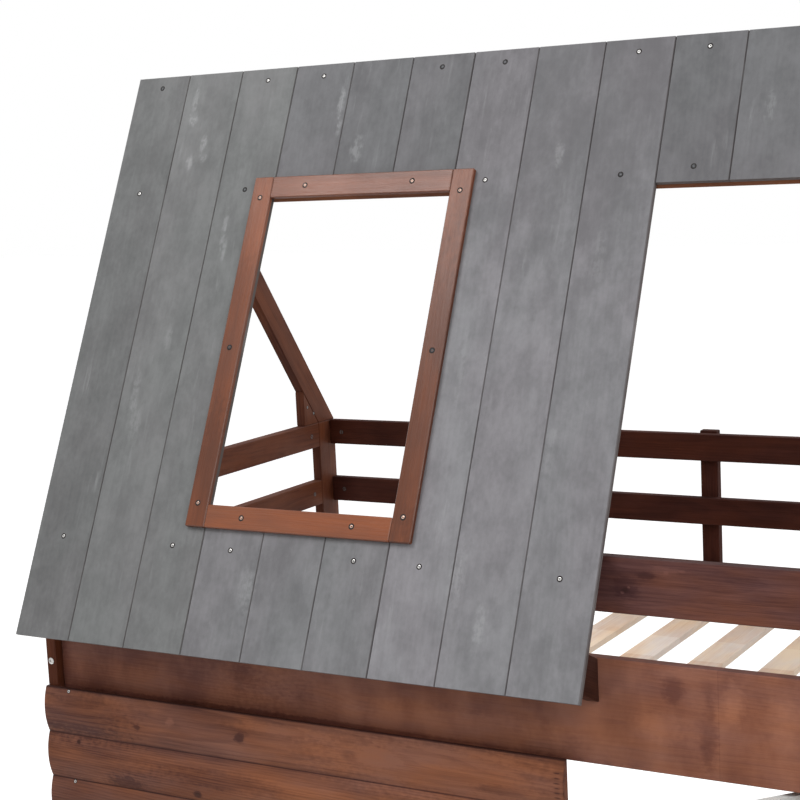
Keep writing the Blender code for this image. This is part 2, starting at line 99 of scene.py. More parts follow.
def place(x, y, z):
    """Point measured from the bed's corner, in the frame of the scene."""
    return (corner[0] + x, corner[1] + y, corner[2] + z)


def on_roof(x, along, above=0.0):
    """Point of the scene on the roof: along the slope from the eave, and above its top face."""
    return place(x, eave[0] + along * math.cos(roof_angle) - above * math.sin(roof_angle),
                 eave[1] + along * math.sin(roof_angle) + above * math.cos(roof_angle))


def middle_of(node):
    """Middle of a node's box, in the frame of the scene."""
    low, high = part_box(node)
    return tuple((a + b) / 2 for a, b in zip(low, high))


x_way = (1.0, 0.0, 0.0)
y_way = (0.0, 1.0, 0.0)
z_way = (0.0, 0.0, 1.0)
front = (0.0, -1.0, 0.0)
leftward = (-1.0, 0.0, 0.0)
slope_way = (0.0, math.cos(roof_angle), math.sin(roof_angle))
slope_out = (0.0, -math.sin(roof_angle), math.cos(roof_angle))
back_way = (0.0, -math.cos(back_angle), math.sin(back_angle))
back_out = (0.0, math.sin(back_angle), math.cos(back_angle))
door_way = (math.cos(door_rest), math.sin(door_rest), 0.0)
door_out = (math.sin(door_rest), -math.cos(door_rest), 0.0)


# Shader graphs
class Graph:
    """Adds nodes to a material or a group, with links made from sockets given as values."""

    def __init__(self, tree):
        self.tree = tree

    def node(self, kind, inputs=(), **settings):
        """One node; inputs maps a socket's name or number to a value or to another socket."""
        made = self.tree.nodes.new(kind)
        for name, value in settings.items():
            setattr(made, name, value)
        for key, value in dict(inputs).items():
            if isinstance(value, bpy.types.NodeSocket):
                self.tree.links.new(value, made.inputs[key])
            else:
                made.inputs[key].default_value = value
        return made

    def math(self, operation, *values):
        """Result of a Math node."""
        return self.node("ShaderNodeMath", enumerate(values), operation=operation).outputs[0]

    def total(self, *values):
        """Sum of several values."""
        result = values[0]
        for value in values[1:]:
            result = self.math("ADD", result, value)
        return result

    def times(self, first, second):
        """Product of two values."""
        return self.math("MULTIPLY", first, second)

    def vector(self, operation, *values):
        """Result of a Vector Math node."""
        return self.node("ShaderNodeVectorMath", enumerate(values), operation=operation).outputs[0]

    def split(self, vector):
        """The three parts of a vector."""
        return self.node("ShaderNodeSeparateXYZ", {0: vector}).outputs

    def join(self, x, y, z):
        """A vector from its three parts."""
        return self.node("ShaderNodeCombineXYZ", {0: x, 1: y, 2: z}).outputs[0]

    def noise(self, vector, stretch=(1.0, 1.0, 1.0), detail=2.0, roughness=0.5):
        """Soft noise around 0.5, with its own count of waves per metre in each direction."""
        stretched = self.vector("MULTIPLY", vector, stretch)
        values = {"Vector": stretched, "Scale": 1.0, "Detail": detail, "Roughness": roughness}
        return self.node("ShaderNodeTexNoise", values).outputs["Fac"]

    def step(self, value, low, high, to_low=0.0, to_high=1.0):
        """Smooth step of a value between two limits."""
        values = {0: value, 1: low, 2: high, 3: to_low, 4: to_high}
        return self.node("ShaderNodeMapRange", values, interpolation_type="SMOOTHSTEP").outputs[0]

    def spread(self, value):
        """Noise around 0.5, spread to between -0.5 and 0.5."""
        return self.step(value, 0.3, 0.7, -0.5, 0.5)

    def moved(self, vector, seed, ways):
        """A place moved by a seed, so that each board shows another part of a pattern."""
        return self.vector("ADD", vector, self.vector("MULTIPLY", self.join(seed, seed, seed), ways))

    def weighed(self, outputs, shares):
        """Sum of a group's outputs, each times its share."""
        return self.total(*[self.times(outputs[label], share) for label, share in shares.items()])

    def mix(self, share, low, high, blend="MIX"):
        """Colour between low and high."""
        made = self.node("ShaderNodeMix", {0: share, 6: low, 7: high}, data_type="RGBA", blend_type=blend)
        return made.outputs[2]

    def spot(self, local, centre, reach, ragged=0.5, waves=90.0):
        """Uneven spot: 1 well inside an ellipse of half sizes reach, fading to 0 just outside it."""
        gone_share = 1.15
        full_share = 0.35
        share = self.vector("DIVIDE", self.vector("SUBTRACT", local, centre), reach)
        length = self.node("ShaderNodeVectorMath", {0: share}, operation="LENGTH").outputs["Value"]
        around = self.noise(local, (waves, waves * 1.6, waves))
        uneven = self.math("MULTIPLY_ADD", around, 2 * ragged, -ragged)
        return self.step(self.math("ADD", length, uneven), gone_share, full_share)

    def use(self, tree, **inputs):
        """Place a shared group. Its inputs are given by name, with underscores for spaces."""
        values = {name.replace("_", " "): value for name, value in inputs.items()}
        return self.node("ShaderNodeGroup", values, node_tree=tree).outputs


VALUE = "NodeSocketFloat"
VECTOR = "NodeSocketVector"
COLOUR = "NodeSocketColor"


def shared_group(name, inputs, outputs, make):
    """Node group with named sockets. make gets its graph and inputs and gives a dict of its outputs."""
    tree = bpy.data.node_groups.new(name, "ShaderNodeTree")
    for label, kind, default in inputs:
        socket = tree.interface.new_socket(label, in_out="INPUT", socket_type=kind)
        if default is not None:
            socket.default_value = default
    for label, kind in outputs:
        tree.interface.new_socket(label, in_out="OUTPUT", socket_type=kind)
    graph = Graph(tree)
    results = make(graph, graph.node("NodeGroupInput").outputs)
    graph.node("NodeGroupOutput", results)
    return tree


def timber_figure(g, given):
    """Pine figure on a board whose grain runs along X.

    Growth rings are the distance from a pith line that leans through the board. Knots push them aside.
    Streaks, fibres, clouds and tint lie between -0.5 and 0.5.
    """
    pith_depth = 0.055
    pith_aside = 0.05
    pith_lean_shares = (0.035, 0.02)
    knot_push = 0.012
    ring_bend = 0.024
    seed = given["Seed"]
    x, y, z = g.split(given["Place"])
    moved = g.moved(given["Place"], seed, (3.1, 7.7, 5.3))
    spacing = given["Knot Spacing"]
    cells = g.vector("DIVIDE", moved, g.join(spacing, g.times(spacing, 0.45), g.times(spacing, 3.0)))
    cell = g.node("ShaderNodeTexVoronoi", {"Vector": cells, "Scale": 1.0, "Randomness": 0.8}).outputs
    chosen = g.step(g.split(cell["Color"])[0], 0.55, 0.60)
    knot = g.math("SUBTRACT", 1.0, g.times(g.math("SUBTRACT", 1.0, cell["Distance"]), chosen))
    push = g.step(knot, 0.0, 0.26, knot_push, 0.0)
    bend = g.times(g.math("SUBTRACT", g.noise(moved, (1.6, 14.0, 14.0), 3.0), 0.5), ring_bend)
    across = g.total(y, g.times(x, pith_lean_shares[0]), g.times(g.math("SINE", seed), pith_aside))
    depth = g.total(z, pith_depth, g.times(x, pith_lean_shares[1]))
    radius = g.math("SQRT", g.math("ADD", g.times(across, across), g.times(depth, depth)))
    ring = g.math("FRACT", g.math("DIVIDE", g.total(radius, bend, push), given["Ring Spacing"]))
    rings = g.times(g.step(ring, 0.25, 0.85), g.step(ring, 1.0, 0.9))
    around = g.vector("ADD", moved, g.join(0.0, g.times(push, 1.3), push))
    streaks = g.noise(around, (2.6, 62.0, 62.0), 4.0, 0.62)
    fibres = g.noise(around, (14.0, 520.0, 520.0), 3.0, 0.65)
    clouds = g.noise(moved, given["Cloud Waves"], 4.0, 0.55)
    tint = g.noise(g.vector("ADD", moved, (5.0, 9.0, 2.0)), (5.0, 16.0, 16.0), 3.0, 0.55)
    facing = [g.math("ABSOLUTE", part) for part in g.split(given["Normal"])]
    most = g.math("MAXIMUM", g.math("MAXIMUM", facing[0], facing[1]), facing[2])
    return {"Rings": rings, "Streaks": g.spread(streaks), "Fibres": g.spread(fibres),
            "Clouds": g.spread(clouds), "Tint": g.spread(tint),
            "Knots": g.step(knot, 0.06, 0.025), "Halo": g.step(knot, 0.2, 0.05),
            "Ends": g.step(facing[0], 0.75, 0.95), "Sides": g.step(facing[1], 0.75, 0.95),
            "Edges": g.step(most, 0.9, 0.75)}


figure_parts = ("Rings", "Streaks", "Fibres", "Clouds", "Tint", "Knots", "Halo", "Ends", "Sides", "Edges")
timber = shared_group(
    "timber",
    [("Place", VECTOR, None), ("Normal", VECTOR, None), ("Seed", VALUE, 0.0), ("Ring Spacing", VALUE, 0.0045),
     ("Knot Spacing", VALUE, 0.4), ("Cloud Waves", VECTOR, (6.0, 11.0, 11.0))],
    [(label, VALUE) for label in figure_parts],
    timber_figure)


def stain_over_figure(g, given):
    """Stain over the figure: deeper in late wood, streaks, knots, end grain and edges; the side depth darkens
    or lightens narrow faces, as painted shade or painted light.

    The amount of stain goes from the thin colour at 0 to the deep one at 1, and beyond that darker still.
    """
    halo_share = 0.22
    darkest_share = 0.35
    relief_shares = {"Fibres": 0.6, "Rings": 0.5, "Streaks": 0.4, "Knots": -0.5}
    amount = g.total(
        0.5,
        g.times(given["Clouds"], given["Cloudiness"]),
        g.times(given["Streaks"], given["Streakiness"]),
        g.times(given["Fibres"], given["Fineness"]),
        g.times(g.math("SUBTRACT", given["Rings"], 0.35), given["Figure"]),
        g.times(given["Halo"], halo_share),
        g.times(given["Ends"], given["End Depth"]),
        g.times(given["Sides"], given["Side Depth"]),
        g.times(given["Edges"], given["Edge Depth"]),
        given["Marks"])
    share = g.node("ShaderNodeClamp", {0: amount, 1: 0.0, 2: 1.0}).outputs[0]
    warmth = g.times(given["Tint"], given["Hue Drift"])
    drift = g.join(g.math("ADD", 1.0, g.times(warmth, 0.5)), 1.0, g.math("SUBTRACT", 1.0, warmth))
    colour = g.vector("MULTIPLY", g.mix(share, given["Thin"], given["Deep"]), drift)
    beyond = g.math("MAXIMUM", g.times(given["Knots"], 0.6), g.step(amount, 1.0, 1.8, 0.0, 0.7))
    darkest = g.vector("SCALE", given["Deep"])
    darkest.node.inputs["Scale"].default_value = darkest_share
    rough = g.total(given["Sheen"], g.times(given["Fibres"], 0.10), g.times(given["Clouds"], 0.08),
                    g.times(g.math("MAXIMUM", given["Ends"], given["Sides"]), 0.2))
    height = g.weighed(given, relief_shares)
    return {"Colour": g.mix(beyond, colour, darkest), "Roughness": rough, "Height": height}


stain_amounts = ("Marks", "Figure", "Streakiness", "Fineness", "Cloudiness", "Side Depth", "Edge Depth",
                 "End Depth", "Hue Drift", "Sheen")
stain = shared_group(
    "stain",
    [("Thin", COLOUR, None), ("Deep", COLOUR, None)]
    + [(label, VALUE, 0.0) for label in figure_parts + stain_amounts],
    [("Colour", COLOUR), ("Roughness", VALUE), ("Height", VALUE)],
    stain_over_figure)


def glued_blocks(g, given):
    """Boards glued side by side or end to end: each has a random tone, a number and a glue line."""
    share = g.math("DIVIDE", given["Distance"], given["Length"])
    number = g.math("FLOOR", share)
    numbered = g.math("ADD", number, given["Seed"])
    white = g.node("ShaderNodeTexWhiteNoise", {"W": numbered}, noise_dimensions="1D")
    offset = g.times(g.math("FRACT", share), given["Length"])
    near = g.math("MINIMUM", offset, g.math("SUBTRACT", given["Length"], offset))
    return {"Tone": g.math("SUBTRACT", white.outputs["Value"], 0.5), "Number": number,
            "Glue Line": g.step(near, given["Line"], 0.0)}


blocks = shared_group(
    "glued_blocks",
    [("Distance", VALUE, 0.0), ("Length", VALUE, 0.3), ("Line", VALUE, 0.0008), ("Seed", VALUE, 0.0)],
    [("Tone", VALUE), ("Number", VALUE), ("Glue Line", VALUE)],
    glued_blocks)


def chalky_wash(g, given):
    """Gray wash: thin chalky streaks, soft patches, fine mottle, and a slow drift from cool to warm gray."""
    moved = g.moved(given["Place"], given["Seed"], (11.3, 4.7, 2.9))
    streak = g.step(g.noise(moved, (9.0, 75.0, 75.0), 4.0, 0.62), 0.52, 0.78)
    gate = g.step(g.noise(moved, (6.0, 12.0, 12.0), 2.0), 0.46, 0.66)
    scratch = g.step(g.noise(moved, (30.0, 190.0, 190.0), 3.0, 0.6), 0.3, 0.62)
    patches = g.noise(moved, (13.0, 22.0, 22.0), 4.0, 0.6)
    mottle = g.noise(moved, (70.0, 85.0, 85.0), 3.0, 0.6)
    tint = g.noise(moved, (2.5, 5.0, 5.0))
    return {"Streaks": g.times(g.times(streak, gate), scratch),
            "Patches": g.spread(patches), "Mottle": g.spread(mottle), "Tint": g.step(tint, 0.35, 0.65)}


chalk = shared_group(
    "chalk",
    [("Place", VECTOR, None), ("Seed", VALUE, 0.0)],
    [("Streaks", VALUE), ("Patches", VALUE), ("Mottle", VALUE), ("Tint", VALUE)],
    chalky_wash)


# Finishes
def new_material(name):
    """Material, the graph of its nodes, and its shader."""
    material = bpy.data.materials.new(name)
    material.use_nodes = True
    return material, Graph(material.node_tree), material.node_tree.nodes["Principled BSDF"]


def board_material(name, along, across, centre):
    """Material with its shader, and the board's own place and normal with the grain along X."""
    material, graph, shader = new_material(name)
    source = graph.node("ShaderNodeTexCoord").outputs
    first = Vector(along).normalized()
    second = Vector(across).normalized()
    turn = Matrix((first, second, first.cross(second)))
    shifted = -(turn @ Vector(centre))
    values = {0: source["Object"], 1: shifted, 2: turn.to_euler("XYZ")}
    local = graph.node("ShaderNodeMapping", values).outputs[0]
    values = {0: source["Normal"], 2: turn.to_euler("XYZ")}
    facing = graph.node("ShaderNodeMapping", values, vector_type="NORMAL").outputs[0]

    def inside(point):
        """A point of the scene, in the board's own place."""
        return tuple(turn @ Vector(point) + shifted)

    return material, graph, shader, local, facing, inside


def finish(graph, shader, colour, roughness, height, relief, specular=0.5):
    """Link a surface's colour, roughness and relief in metres to its shader."""
    made = graph.node("ShaderNodeBump", {"Strength": 1.0, "Distance": relief, "Height": height})
    graph.tree.links.new(made.outputs[0], shader.inputs["Normal"])
    graph.tree.links.new(colour, shader.inputs["Base Color"])
    graph.tree.links.new(roughness, shader.inputs["Roughness"])
    shader.inputs["Specular IOR Level"].default_value = specular


def marks_on(graph, local, inside, marks, ragged=0.5, waves=90.0):
    """Sum of uneven spots. Each mark is a point, its half length and half width, and its strength."""
    total = 0.0
    for point, reach, strength in marks:
        spot = graph.spot(local, inside(point), (*reach, 1.0), ragged, waves)
        total = graph.math("MULTIPLY_ADD", spot, strength, total)
    return total


# Painted shade beside the logs' grooves and along the siding's top edge under the rail
groove_shade_share = 0.38
groove_line_share = 0.9
log_tone_share = 0.3


def log_stain(g, local, seed, top, tall):
    """Extra colour on milled logs: patchy painted shade beside their grooves, a dark line in them, a tone for
    each log.
    """
    height = g.math("SUBTRACT", top, g.split(g.node("ShaderNodeTexCoord").outputs["Object"])[2])
    share = g.math("FRACT", g.math("DIVIDE", height, tall))
    near = g.math("MAXIMUM", g.step(share, 0.13, 0.0), g.step(share, 0.95, 1.0))
    patchy = g.step(g.noise(local, (4.0, 20.0, 20.0), 3.0), 0.3, 0.62, 0.1, 1.0)
    line = g.math("MAXIMUM", g.step(share, 0.022, 0.008), g.step(share, 0.988, 0.996))
    log = g.use(blocks, Distance=height, Length=tall, Line=0.0, Seed=float(seed))
    return g.total(g.times(g.times(near, patchy), groove_shade_share), g.times(line, groove_line_share),
                   g.times(log["Tone"], log_tone_share))


# What a stained board has unless its own look says otherwise
usual_look = {"rings": 0.0045, "knots": 0.5, "clouds": (6.0, 11.0, 11.0), "figure": 0.15, "streaks": 0.35,
              "fibres": 0.22, "cloudiness": 0.5, "sides": 0.3, "edges": 0.2, "ends": 0.3, "hue": 0.25,
              "sheen": 0.5, "relief": 0.0002, "specular": 0.12, "block_start": 0.0}
joint_line = 0.0014
joint_stain_share = 0.2


def stained_board(name, along, across, centre, seed, look, marks=(), seams=None):
    """Solid wood under a stain.

    look holds the colours and shares of the finish. marks are spots of more or less stain, some of them
    painted shade or a painted sheen. seams is the top and the height of the logs milled on a board: their
    grooves get a dark line, with painted shade beside them.
    """
    look = {**usual_look, **look}
    material, g, shader, local, facing, inside = board_material(name, along, across, centre)
    figure = g.use(timber, Place=local, Normal=facing, Seed=float(seed), Ring_Spacing=look["rings"],
                   Knot_Spacing=look["knots"], Cloud_Waves=look["clouds"])
    extra = marks_on(g, local, inside, marks)
    if "block" in look:
        begin = g.math("ADD", g.split(local)[0], look["block_start"])
        joint = g.use(blocks, Distance=begin, Length=look["block"], Seed=float(seed), Line=joint_line)
        extra = g.total(extra, g.times(joint["Tone"], look["block_tone"]),
                        g.times(joint["Glue Line"], joint_stain_share))
    if seams:
        extra = g.total(extra, log_stain(g, local, seed, *seams))
    parts = {label: figure[label] for label in figure_parts}
    coat = g.use(stain, **parts, Thin=look["thin"], Deep=look["deep"], Marks=extra, Figure=look["figure"],
                 Streakiness=look["streaks"], Fineness=look["fibres"], Cloudiness=look["cloudiness"],
                 Side_Depth=look["sides"], Edge_Depth=look["edges"], End_Depth=look["ends"],
                 Hue_Drift=look["hue"], Sheen=look["sheen"])
    finish(g, shader, coat["Colour"], coat["Roughness"], coat["Height"], look["relief"], look["specular"])
    return material


# The roof's gray wash. The shares say how far each part of the pattern goes towards its colour or height.
wash_tone_shares = {"Patches": 0.24, "Mottle": 0.10}
figure_tone_shares = {"Fibres": 0.02, "Streaks": 0.04, "Rings": -0.03}
board_tone_share = 0.20
streak_share = 0.34
glue_line_share = 0.6
cut_wood_and_shade_share = 0.55
chalk_roughness_share = 0.2
wash_lightest_share = 1.45
wash_darkest_share = 0.62
wash_roughness = 0.62
wash_relief = 0.00006
wash_specular = 0.2
wash_ring_spacing = 0.010
chalk_tone = tone(182, 183, 184)
open_line_tone = tone(52, 52, 54)
filled_line_tone = tone(158, 159, 160)
cut_wood_and_shade_tone = tone(80, 64, 57)
cool_gray = (0.992, 1.0, 0.996, 1.0)
warm_gray = (1.012, 0.991, 1.0, 1.0)
glue_line_width = 0.0011


def washed_board(name, along, across, centre, seed, left, width, base, marks=(), shades=()):
    """Gray-washed boards side by side, each with its own tone, streaks and figure.

    left is the first board's left edge. marks are chalky dabs, and shades are soft lighter or darker places.
    """
    material, g, shader, local, facing, inside = board_material(name, along, across, centre)
    distance = g.math("SUBTRACT", g.split(local)[1], inside((left, 0.0, 0.0))[1])
    joint = g.use(blocks, Distance=distance, Length=width, Line=glue_line_width, Seed=float(seed))
    number = g.math("ADD", joint["Number"], seed * 3.0)
    figure = g.use(timber, Place=local, Normal=facing, Seed=number, Ring_Spacing=wash_ring_spacing,
                   Knot_Spacing=usual_look["knots"])
    wash = g.use(chalk, Place=local, Seed=number)
    soft_shades = marks_on(g, local, inside, shades, 0.35, 12.0)
    lift = g.total(g.weighed(wash, wash_tone_shares), g.times(joint["Tone"], board_tone_share), soft_shades,
                   g.weighed(figure, figure_tone_shares))
    light = scaled(base, wash_lightest_share)
    dark = scaled(base, wash_darkest_share)
    colour = g.mix(g.step(lift, -0.6, 0.6), dark, light)
    dabs = g.times(marks_on(g, local, inside, marks), g.step(wash["Mottle"], -0.45, 0.2, 0.35, 1.0))
    chalky = g.math("MAXIMUM", g.times(wash["Streaks"], streak_share), dabs)
    grain = g.step(figure["Fibres"], -0.5, 0.3, 0.6, 1.0)
    colour = g.mix(g.times(chalky, grain), colour, chalk_tone)
    colour = g.mix(1.0, colour, g.mix(wash["Tint"], cool_gray, warm_gray), "MULTIPLY")
    filled = g.step(g.noise(local, (5.0, 7.0, 7.0), 2.0), 0.50, 0.56)
    line_colour = g.mix(filled, open_line_tone, filled_line_tone)
    colour = g.mix(g.times(joint["Glue Line"], glue_line_share), colour, line_colour)
    # The cut edges are brown-gray: the colour of bare cut wood, and also painted shade on those narrow faces
    cut = g.math("MAXIMUM", figure["Ends"], figure["Sides"])
    colour = g.mix(g.times(cut, cut_wood_and_shade_share), colour, cut_wood_and_shade_tone)
    rough = g.total(wash_roughness, g.times(chalky, chalk_roughness_share))
    height = g.total(g.times(figure["Fibres"], 0.5), g.times(chalky, 0.6), g.times(wash["Mottle"], 0.3))
    finish(g, shader, colour, rough, height, wash_relief, wash_specular)
    return material


film_waves = 180.0
grit_waves = 1400.0
dull_metal_share = 0.62
metal_relief = 0.00003


def metal(name, colour, roughness, metallic=1.0):
    """Plated steel with a fine uneven film."""
    material, g, shader = new_material(name)
    source = g.node("ShaderNodeTexCoord").outputs["Object"]
    film = g.noise(source, (film_waves, film_waves, film_waves), 3.0, 0.6)
    grit = g.noise(source, (grit_waves, grit_waves, grit_waves))
    film_colour = g.mix(g.step(film, 0.35, 0.7), colour, scaled(colour, dull_metal_share))
    film_roughness = g.step(film, 0.3, 0.7, roughness - 0.06, roughness + 0.12)
    finish(g, shader, film_colour, film_roughness, grit, metal_relief)
    shader.inputs["Metallic"].default_value = metallic
    return material


def dress(node, material):
    """Give a CAD node its finish."""
    piece = frame["nodes"][node]
    if not piece.material_slots:
        piece.data.materials.append(material)
    for slot in piece.material_slots:
        slot.material = material


# Finishes of the boards
end_look = {"thin": tone(122, 72, 49), "deep": tone(80, 43, 31), "cloudiness": 0.45, "streaks": 0.25}
dark_look = {"thin": tone(86, 46, 35), "deep": tone(56, 27, 21), "sheen": 0.6}
purlin_look = {"thin": tone(150, 96, 66), "deep": tone(108, 66, 45), "sheen": 0.6, "sides": 0.0, "edges": 0.1}
front_look = {"thin": tone(160, 104, 82), "deep": tone(112, 67, 56), "cloudiness": 0.75,
              "clouds": (7.0, 13.0, 13.0), "streaks": 0.10, "fibres": 0.16, "figure": 0.08, "block": 0.2927,
              "block_tone": 0.3, "sheen": 0.45, "hue": 0.45}
# The guard rail's narrow faces, its top among them, are much darker: painted shade on the top face
guard_look = {"thin": tone(122, 79, 68), "deep": tone(74, 43, 39), "cloudiness": 0.34, "streaks": 0.30,
              "figure": 0.14, "fibres": 0.3, "hue": 0.4, "sides": 1.0}
siding_look = {"thin": tone(152, 99, 75), "deep": tone(88, 53, 44), "cloudiness": 0.40, "streaks": 0.34,
               "clouds": (3.5, 12.0, 12.0), "figure": 0.17, "fibres": 0.20, "knots": 0.42, "relief": 0.0003,
               "sheen": 0.48, "hue": 0.33}
window_look = {"thin": tone(141, 80, 51), "deep": tone(99, 54, 34), "cloudiness": 0.6, "streaks": 0.3,
               "clouds": (4.0, 9.0, 9.0), "fibres": 0.12, "figure": 0.05, "knots": 3.0, "sheen": 0.27,
               "specular": 0.40, "relief": 0.00006}
sill_look = dict(window_look, thin=tone(156, 88, 52), deep=tone(124, 68, 41))
stile_look = dict(window_look, thin=tone(146, 84, 54), deep=tone(103, 57, 36), specular=0.3)
cleat_look = {"thin": tone(78, 46, 36), "deep": tone(52, 29, 23), "sheen": 0.6}
# The slats' side faces are lighter than their tops (sides below 0): painted light, as if lit from the right
pine_look = {"thin": tone(250, 231, 212), "deep": tone(228, 197, 172), "figure": 0.2, "streaks": 0.4,
             "sides": -0.4, "edges": 0.0, "sheen": 0.6, "block_tone": 0.7, "hue": 0.2}
door_look = {"thin": tone(243, 245, 240), "deep": tone(214, 216, 212), "streaks": 0.4, "ends": 0.0,
             "sides": 0.0, "sheen": 0.6, "knots": 0.7, "hue": 0.05}

# Seeds give each board its own figure. The boards in the list below take theirs from their order.
rail_seed = 47
guard_seed = 48
slats_seed = 71
cleat_seed = 91
siding_seed = 11
siding_seed_step = 3

dressed = {}
for side in ("left_", "right_"):
    dressed[side + "front_post"] = (z_way, y_way, end_look)
    dressed[side + "rear_post"] = (z_way, y_way, end_look)
    dressed[side + "front_rafter"] = (slope_way, slope_out, end_look)
    dressed[side + "rear_rafter"] = (back_way, back_out, end_look)
    dressed[side + "rear_gusset"] = (z_way, y_way, end_look)
    for ending in ("end_top_rail", "end_mid_rail", "end_bed_rail", "end_lower_rail"):
        dressed[side + ending] = (y_way, z_way, end_look)
for node in ("upper_rear_rail", "lower_rear_rail", "rear_guard_top_rail", "rear_guard_mid_rail"):
    dressed[node] = (x_way, z_way, dark_look)
dressed["rear_guard_post"] = (z_way, x_way, dark_look)
dressed["front_guard_post"] = (z_way, x_way, end_look)
for node in ("ridge_beam", "upper_purlin", "lower_purlin"):
    dressed[node] = (x_way, slope_way, purlin_look)
dressed["siding_stud"] = (z_way, x_way, end_look)
for node in ("window_left_stile", "window_right_stile"):
    dressed[node] = (slope_way, x_way, stile_look)
dressed["window_top_rail"] = (x_way, slope_way, window_look)
dressed["window_bottom_rail"] = (x_way, slope_way, sill_look)
ladder_way = (0.0, 0.24, 1.0)
for node in ("ladder_left_stringer", "ladder_right_stringer"):
    dressed[node] = (ladder_way, y_way, front_look)
rungs = ["ladder_rung_" + str(number) for number in range(1, 5)]
for node in rungs:
    dressed[node] = (x_way, y_way, front_look)
dressed["lower_front_rail"] = (x_way, z_way, front_look)
dressed["door_leaf"] = (z_way, door_way, door_look)
dressed["door_post"] = (z_way, x_way, door_look)

# The window's left stile is darker low on the slope and lighter at its top, a painted sheen there; the right
# one is darker all along
stile_marks_and_sheen = {
    "window_left_stile": [(on_roof(0.3825, 0.30), (0.20, 0.08), 0.45),
                          (on_roof(0.3825, 0.86), (0.12, 0.08), -0.30)],
    "window_right_stile": [(on_roof(0.8215, 0.50), (0.42, 0.08), 0.45)]}
for order, (node, (along, across, look)) in enumerate(sorted(dressed.items())):
    dress(node, stained_board(node + "_finish", along, across, middle_of(node), order + 1, look,
                              stile_marks_and_sheen.get(node, ())))


def marks_at(y, rows):
    """Marks on an upright face. Each row is place along, place up, half length, half height and strength."""
    return [(place(x, y, z), (long, tall), strength) for x, z, long, tall, strength in rows]


# The upper front rail has one glued joint. Most of its marks are where the stain took unevenly; two are
# painted shade.
rail_joint = 1.3873
rail_top = extent("upper_front_rail")[1][2]
# The rail's narrow faces, its top among them, take much more stain: painted shade that keeps the top as dark
# as the front
rail_look = dict(front_look, thin=tone(166, 111, 88), deep=tone(115, 71, 59), block=rail_joint, sides=1.1,
                 clouds=(12.0, 7.0, 7.0), cloudiness=0.6, streaks=0.06, fibres=0.11, hue=0.25,
                 block_start=middle_of("upper_front_rail")[0] - place(rail_joint, 0.0, 0.0)[0])
rail_stain_and_shade = marks_at(rail_front, [
    (1.311, 1.083, 0.022, 0.03, 0.45), (1.372, 1.01, 0.018, 0.07, 0.28), (1.413, 1.075, 0.02, 0.04, -0.4),
    (1.29, 1.02, 0.05, 0.03, -0.3), (1.34, 1.11, 0.06, 0.012, -0.25), (1.365, 1.04, 0.024, 0.11, 0.22),
    # The wide dark patch at 0.2 is painted shade of the roof's overhang, and the thin line at 0.945 a painted
    # shadow line above the siding
    (1.56, 1.05, 0.12, 0.06, -0.22), (0.2, 1.0, 0.42, 0.2, 0.42), (0.9, 0.97, 0.3, 0.04, -0.25),
    (0.56, 0.945, 0.64, 0.007, 0.75)])
rail_finish = stained_board("upper_front_rail_finish", x_way, z_way, middle_of("upper_front_rail"),
                            rail_seed, rail_look, rail_stain_and_shade)
dress("upper_front_rail", rail_finish)
guard_face = extent("front_guard_rail")[0][1]
guard_marks = marks_at(guard_face, [
    (1.224, 1.236, 0.009, 0.006, 0.6), (1.219, 1.231, 0.004, 0.003, -0.7),
    (1.23, 1.24, 0.003, 0.003, -0.6), (1.224, 1.24, 0.028, 0.022, 0.35),
    (1.262, 1.262, 0.022, 0.007, 0.45), (1.29, 1.272, 0.03, 0.009, -0.3),
    (1.296, 1.27, 0.005, 0.003, -0.45), (1.322, 1.274, 0.008, 0.003, -0.35)])
guard_finish = stained_board("front_guard_rail_finish", x_way, z_way, middle_of("front_guard_rail"),
                             guard_seed, guard_look, guard_marks)
dress("front_guard_rail", guard_finish)

first_slat_setback = 0.0065
last_slat_setback = 0.0639
slat_width = 0.062
slat_count = 14
slats_length = bed_length - 2 * end_board - first_slat_setback - last_slat_setback
slat_pitch = (slats_length - slat_width) / (slat_count - 1)
for order, node in enumerate(("upper_slat_base", "lower_slat_base")):
    look = dict(pine_look, block=slat_pitch)
    dress(node, stained_board(node + "_finish", y_way, x_way, middle_of(node), slats_seed + order, look))

# Chalky dabs on the roof: place along the bed, place up the slope, half length, half width and strength
roof_dabs = [
    (0.164, 1.118, 0.04, 0.008, 0.45), (0.168, 1.075, 0.018, 0.013, 0.5),
    (0.207, 1.02, 0.022, 0.009, 0.45), (0.214, 0.988, 0.012, 0.012, 0.4),
    (0.181, 0.978, 0.018, 0.01, 0.55), (0.303, 0.83, 0.05, 0.007, 0.42), (0.312, 0.79, 0.03, 0.006, 0.38),
    (0.52, 1.085, 0.045, 0.008, 0.45), (0.525, 1.04, 0.025, 0.007, 0.35),
    (0.575, 0.99, 0.035, 0.016, 0.34), (0.17, 0.49, 0.06, 0.01, 0.26), (0.185, 0.43, 0.04, 0.014, 0.22),
    (0.52, 0.13, 0.05, 0.022, 0.26), (0.94, 0.19, 0.07, 0.016, 0.28), (0.995, 0.11, 0.05, 0.014, 0.3),
    (1.004, 0.96, 0.03, 0.012, 0.24), (1.111, 0.76, 0.06, 0.014, 0.16), (0.223, 0.61, 0.035, 0.01, 0.2),
    (0.88, 0.56, 0.08, 0.01, 0.16), (1.075, 0.42, 0.06, 0.012, 0.16), (1.382, 1.03, 0.04, 0.012, 0.24)]
panel_grays = {
    "roof_panel_left": tone(118, 119, 119),
    "roof_panel_under_window": tone(127, 127, 129),
    "roof_panel_over_window": tone(112, 112, 114),
    "roof_panel_middle": tone(136, 135, 138),
    "roof_header_panel": tone(108, 108, 110)}
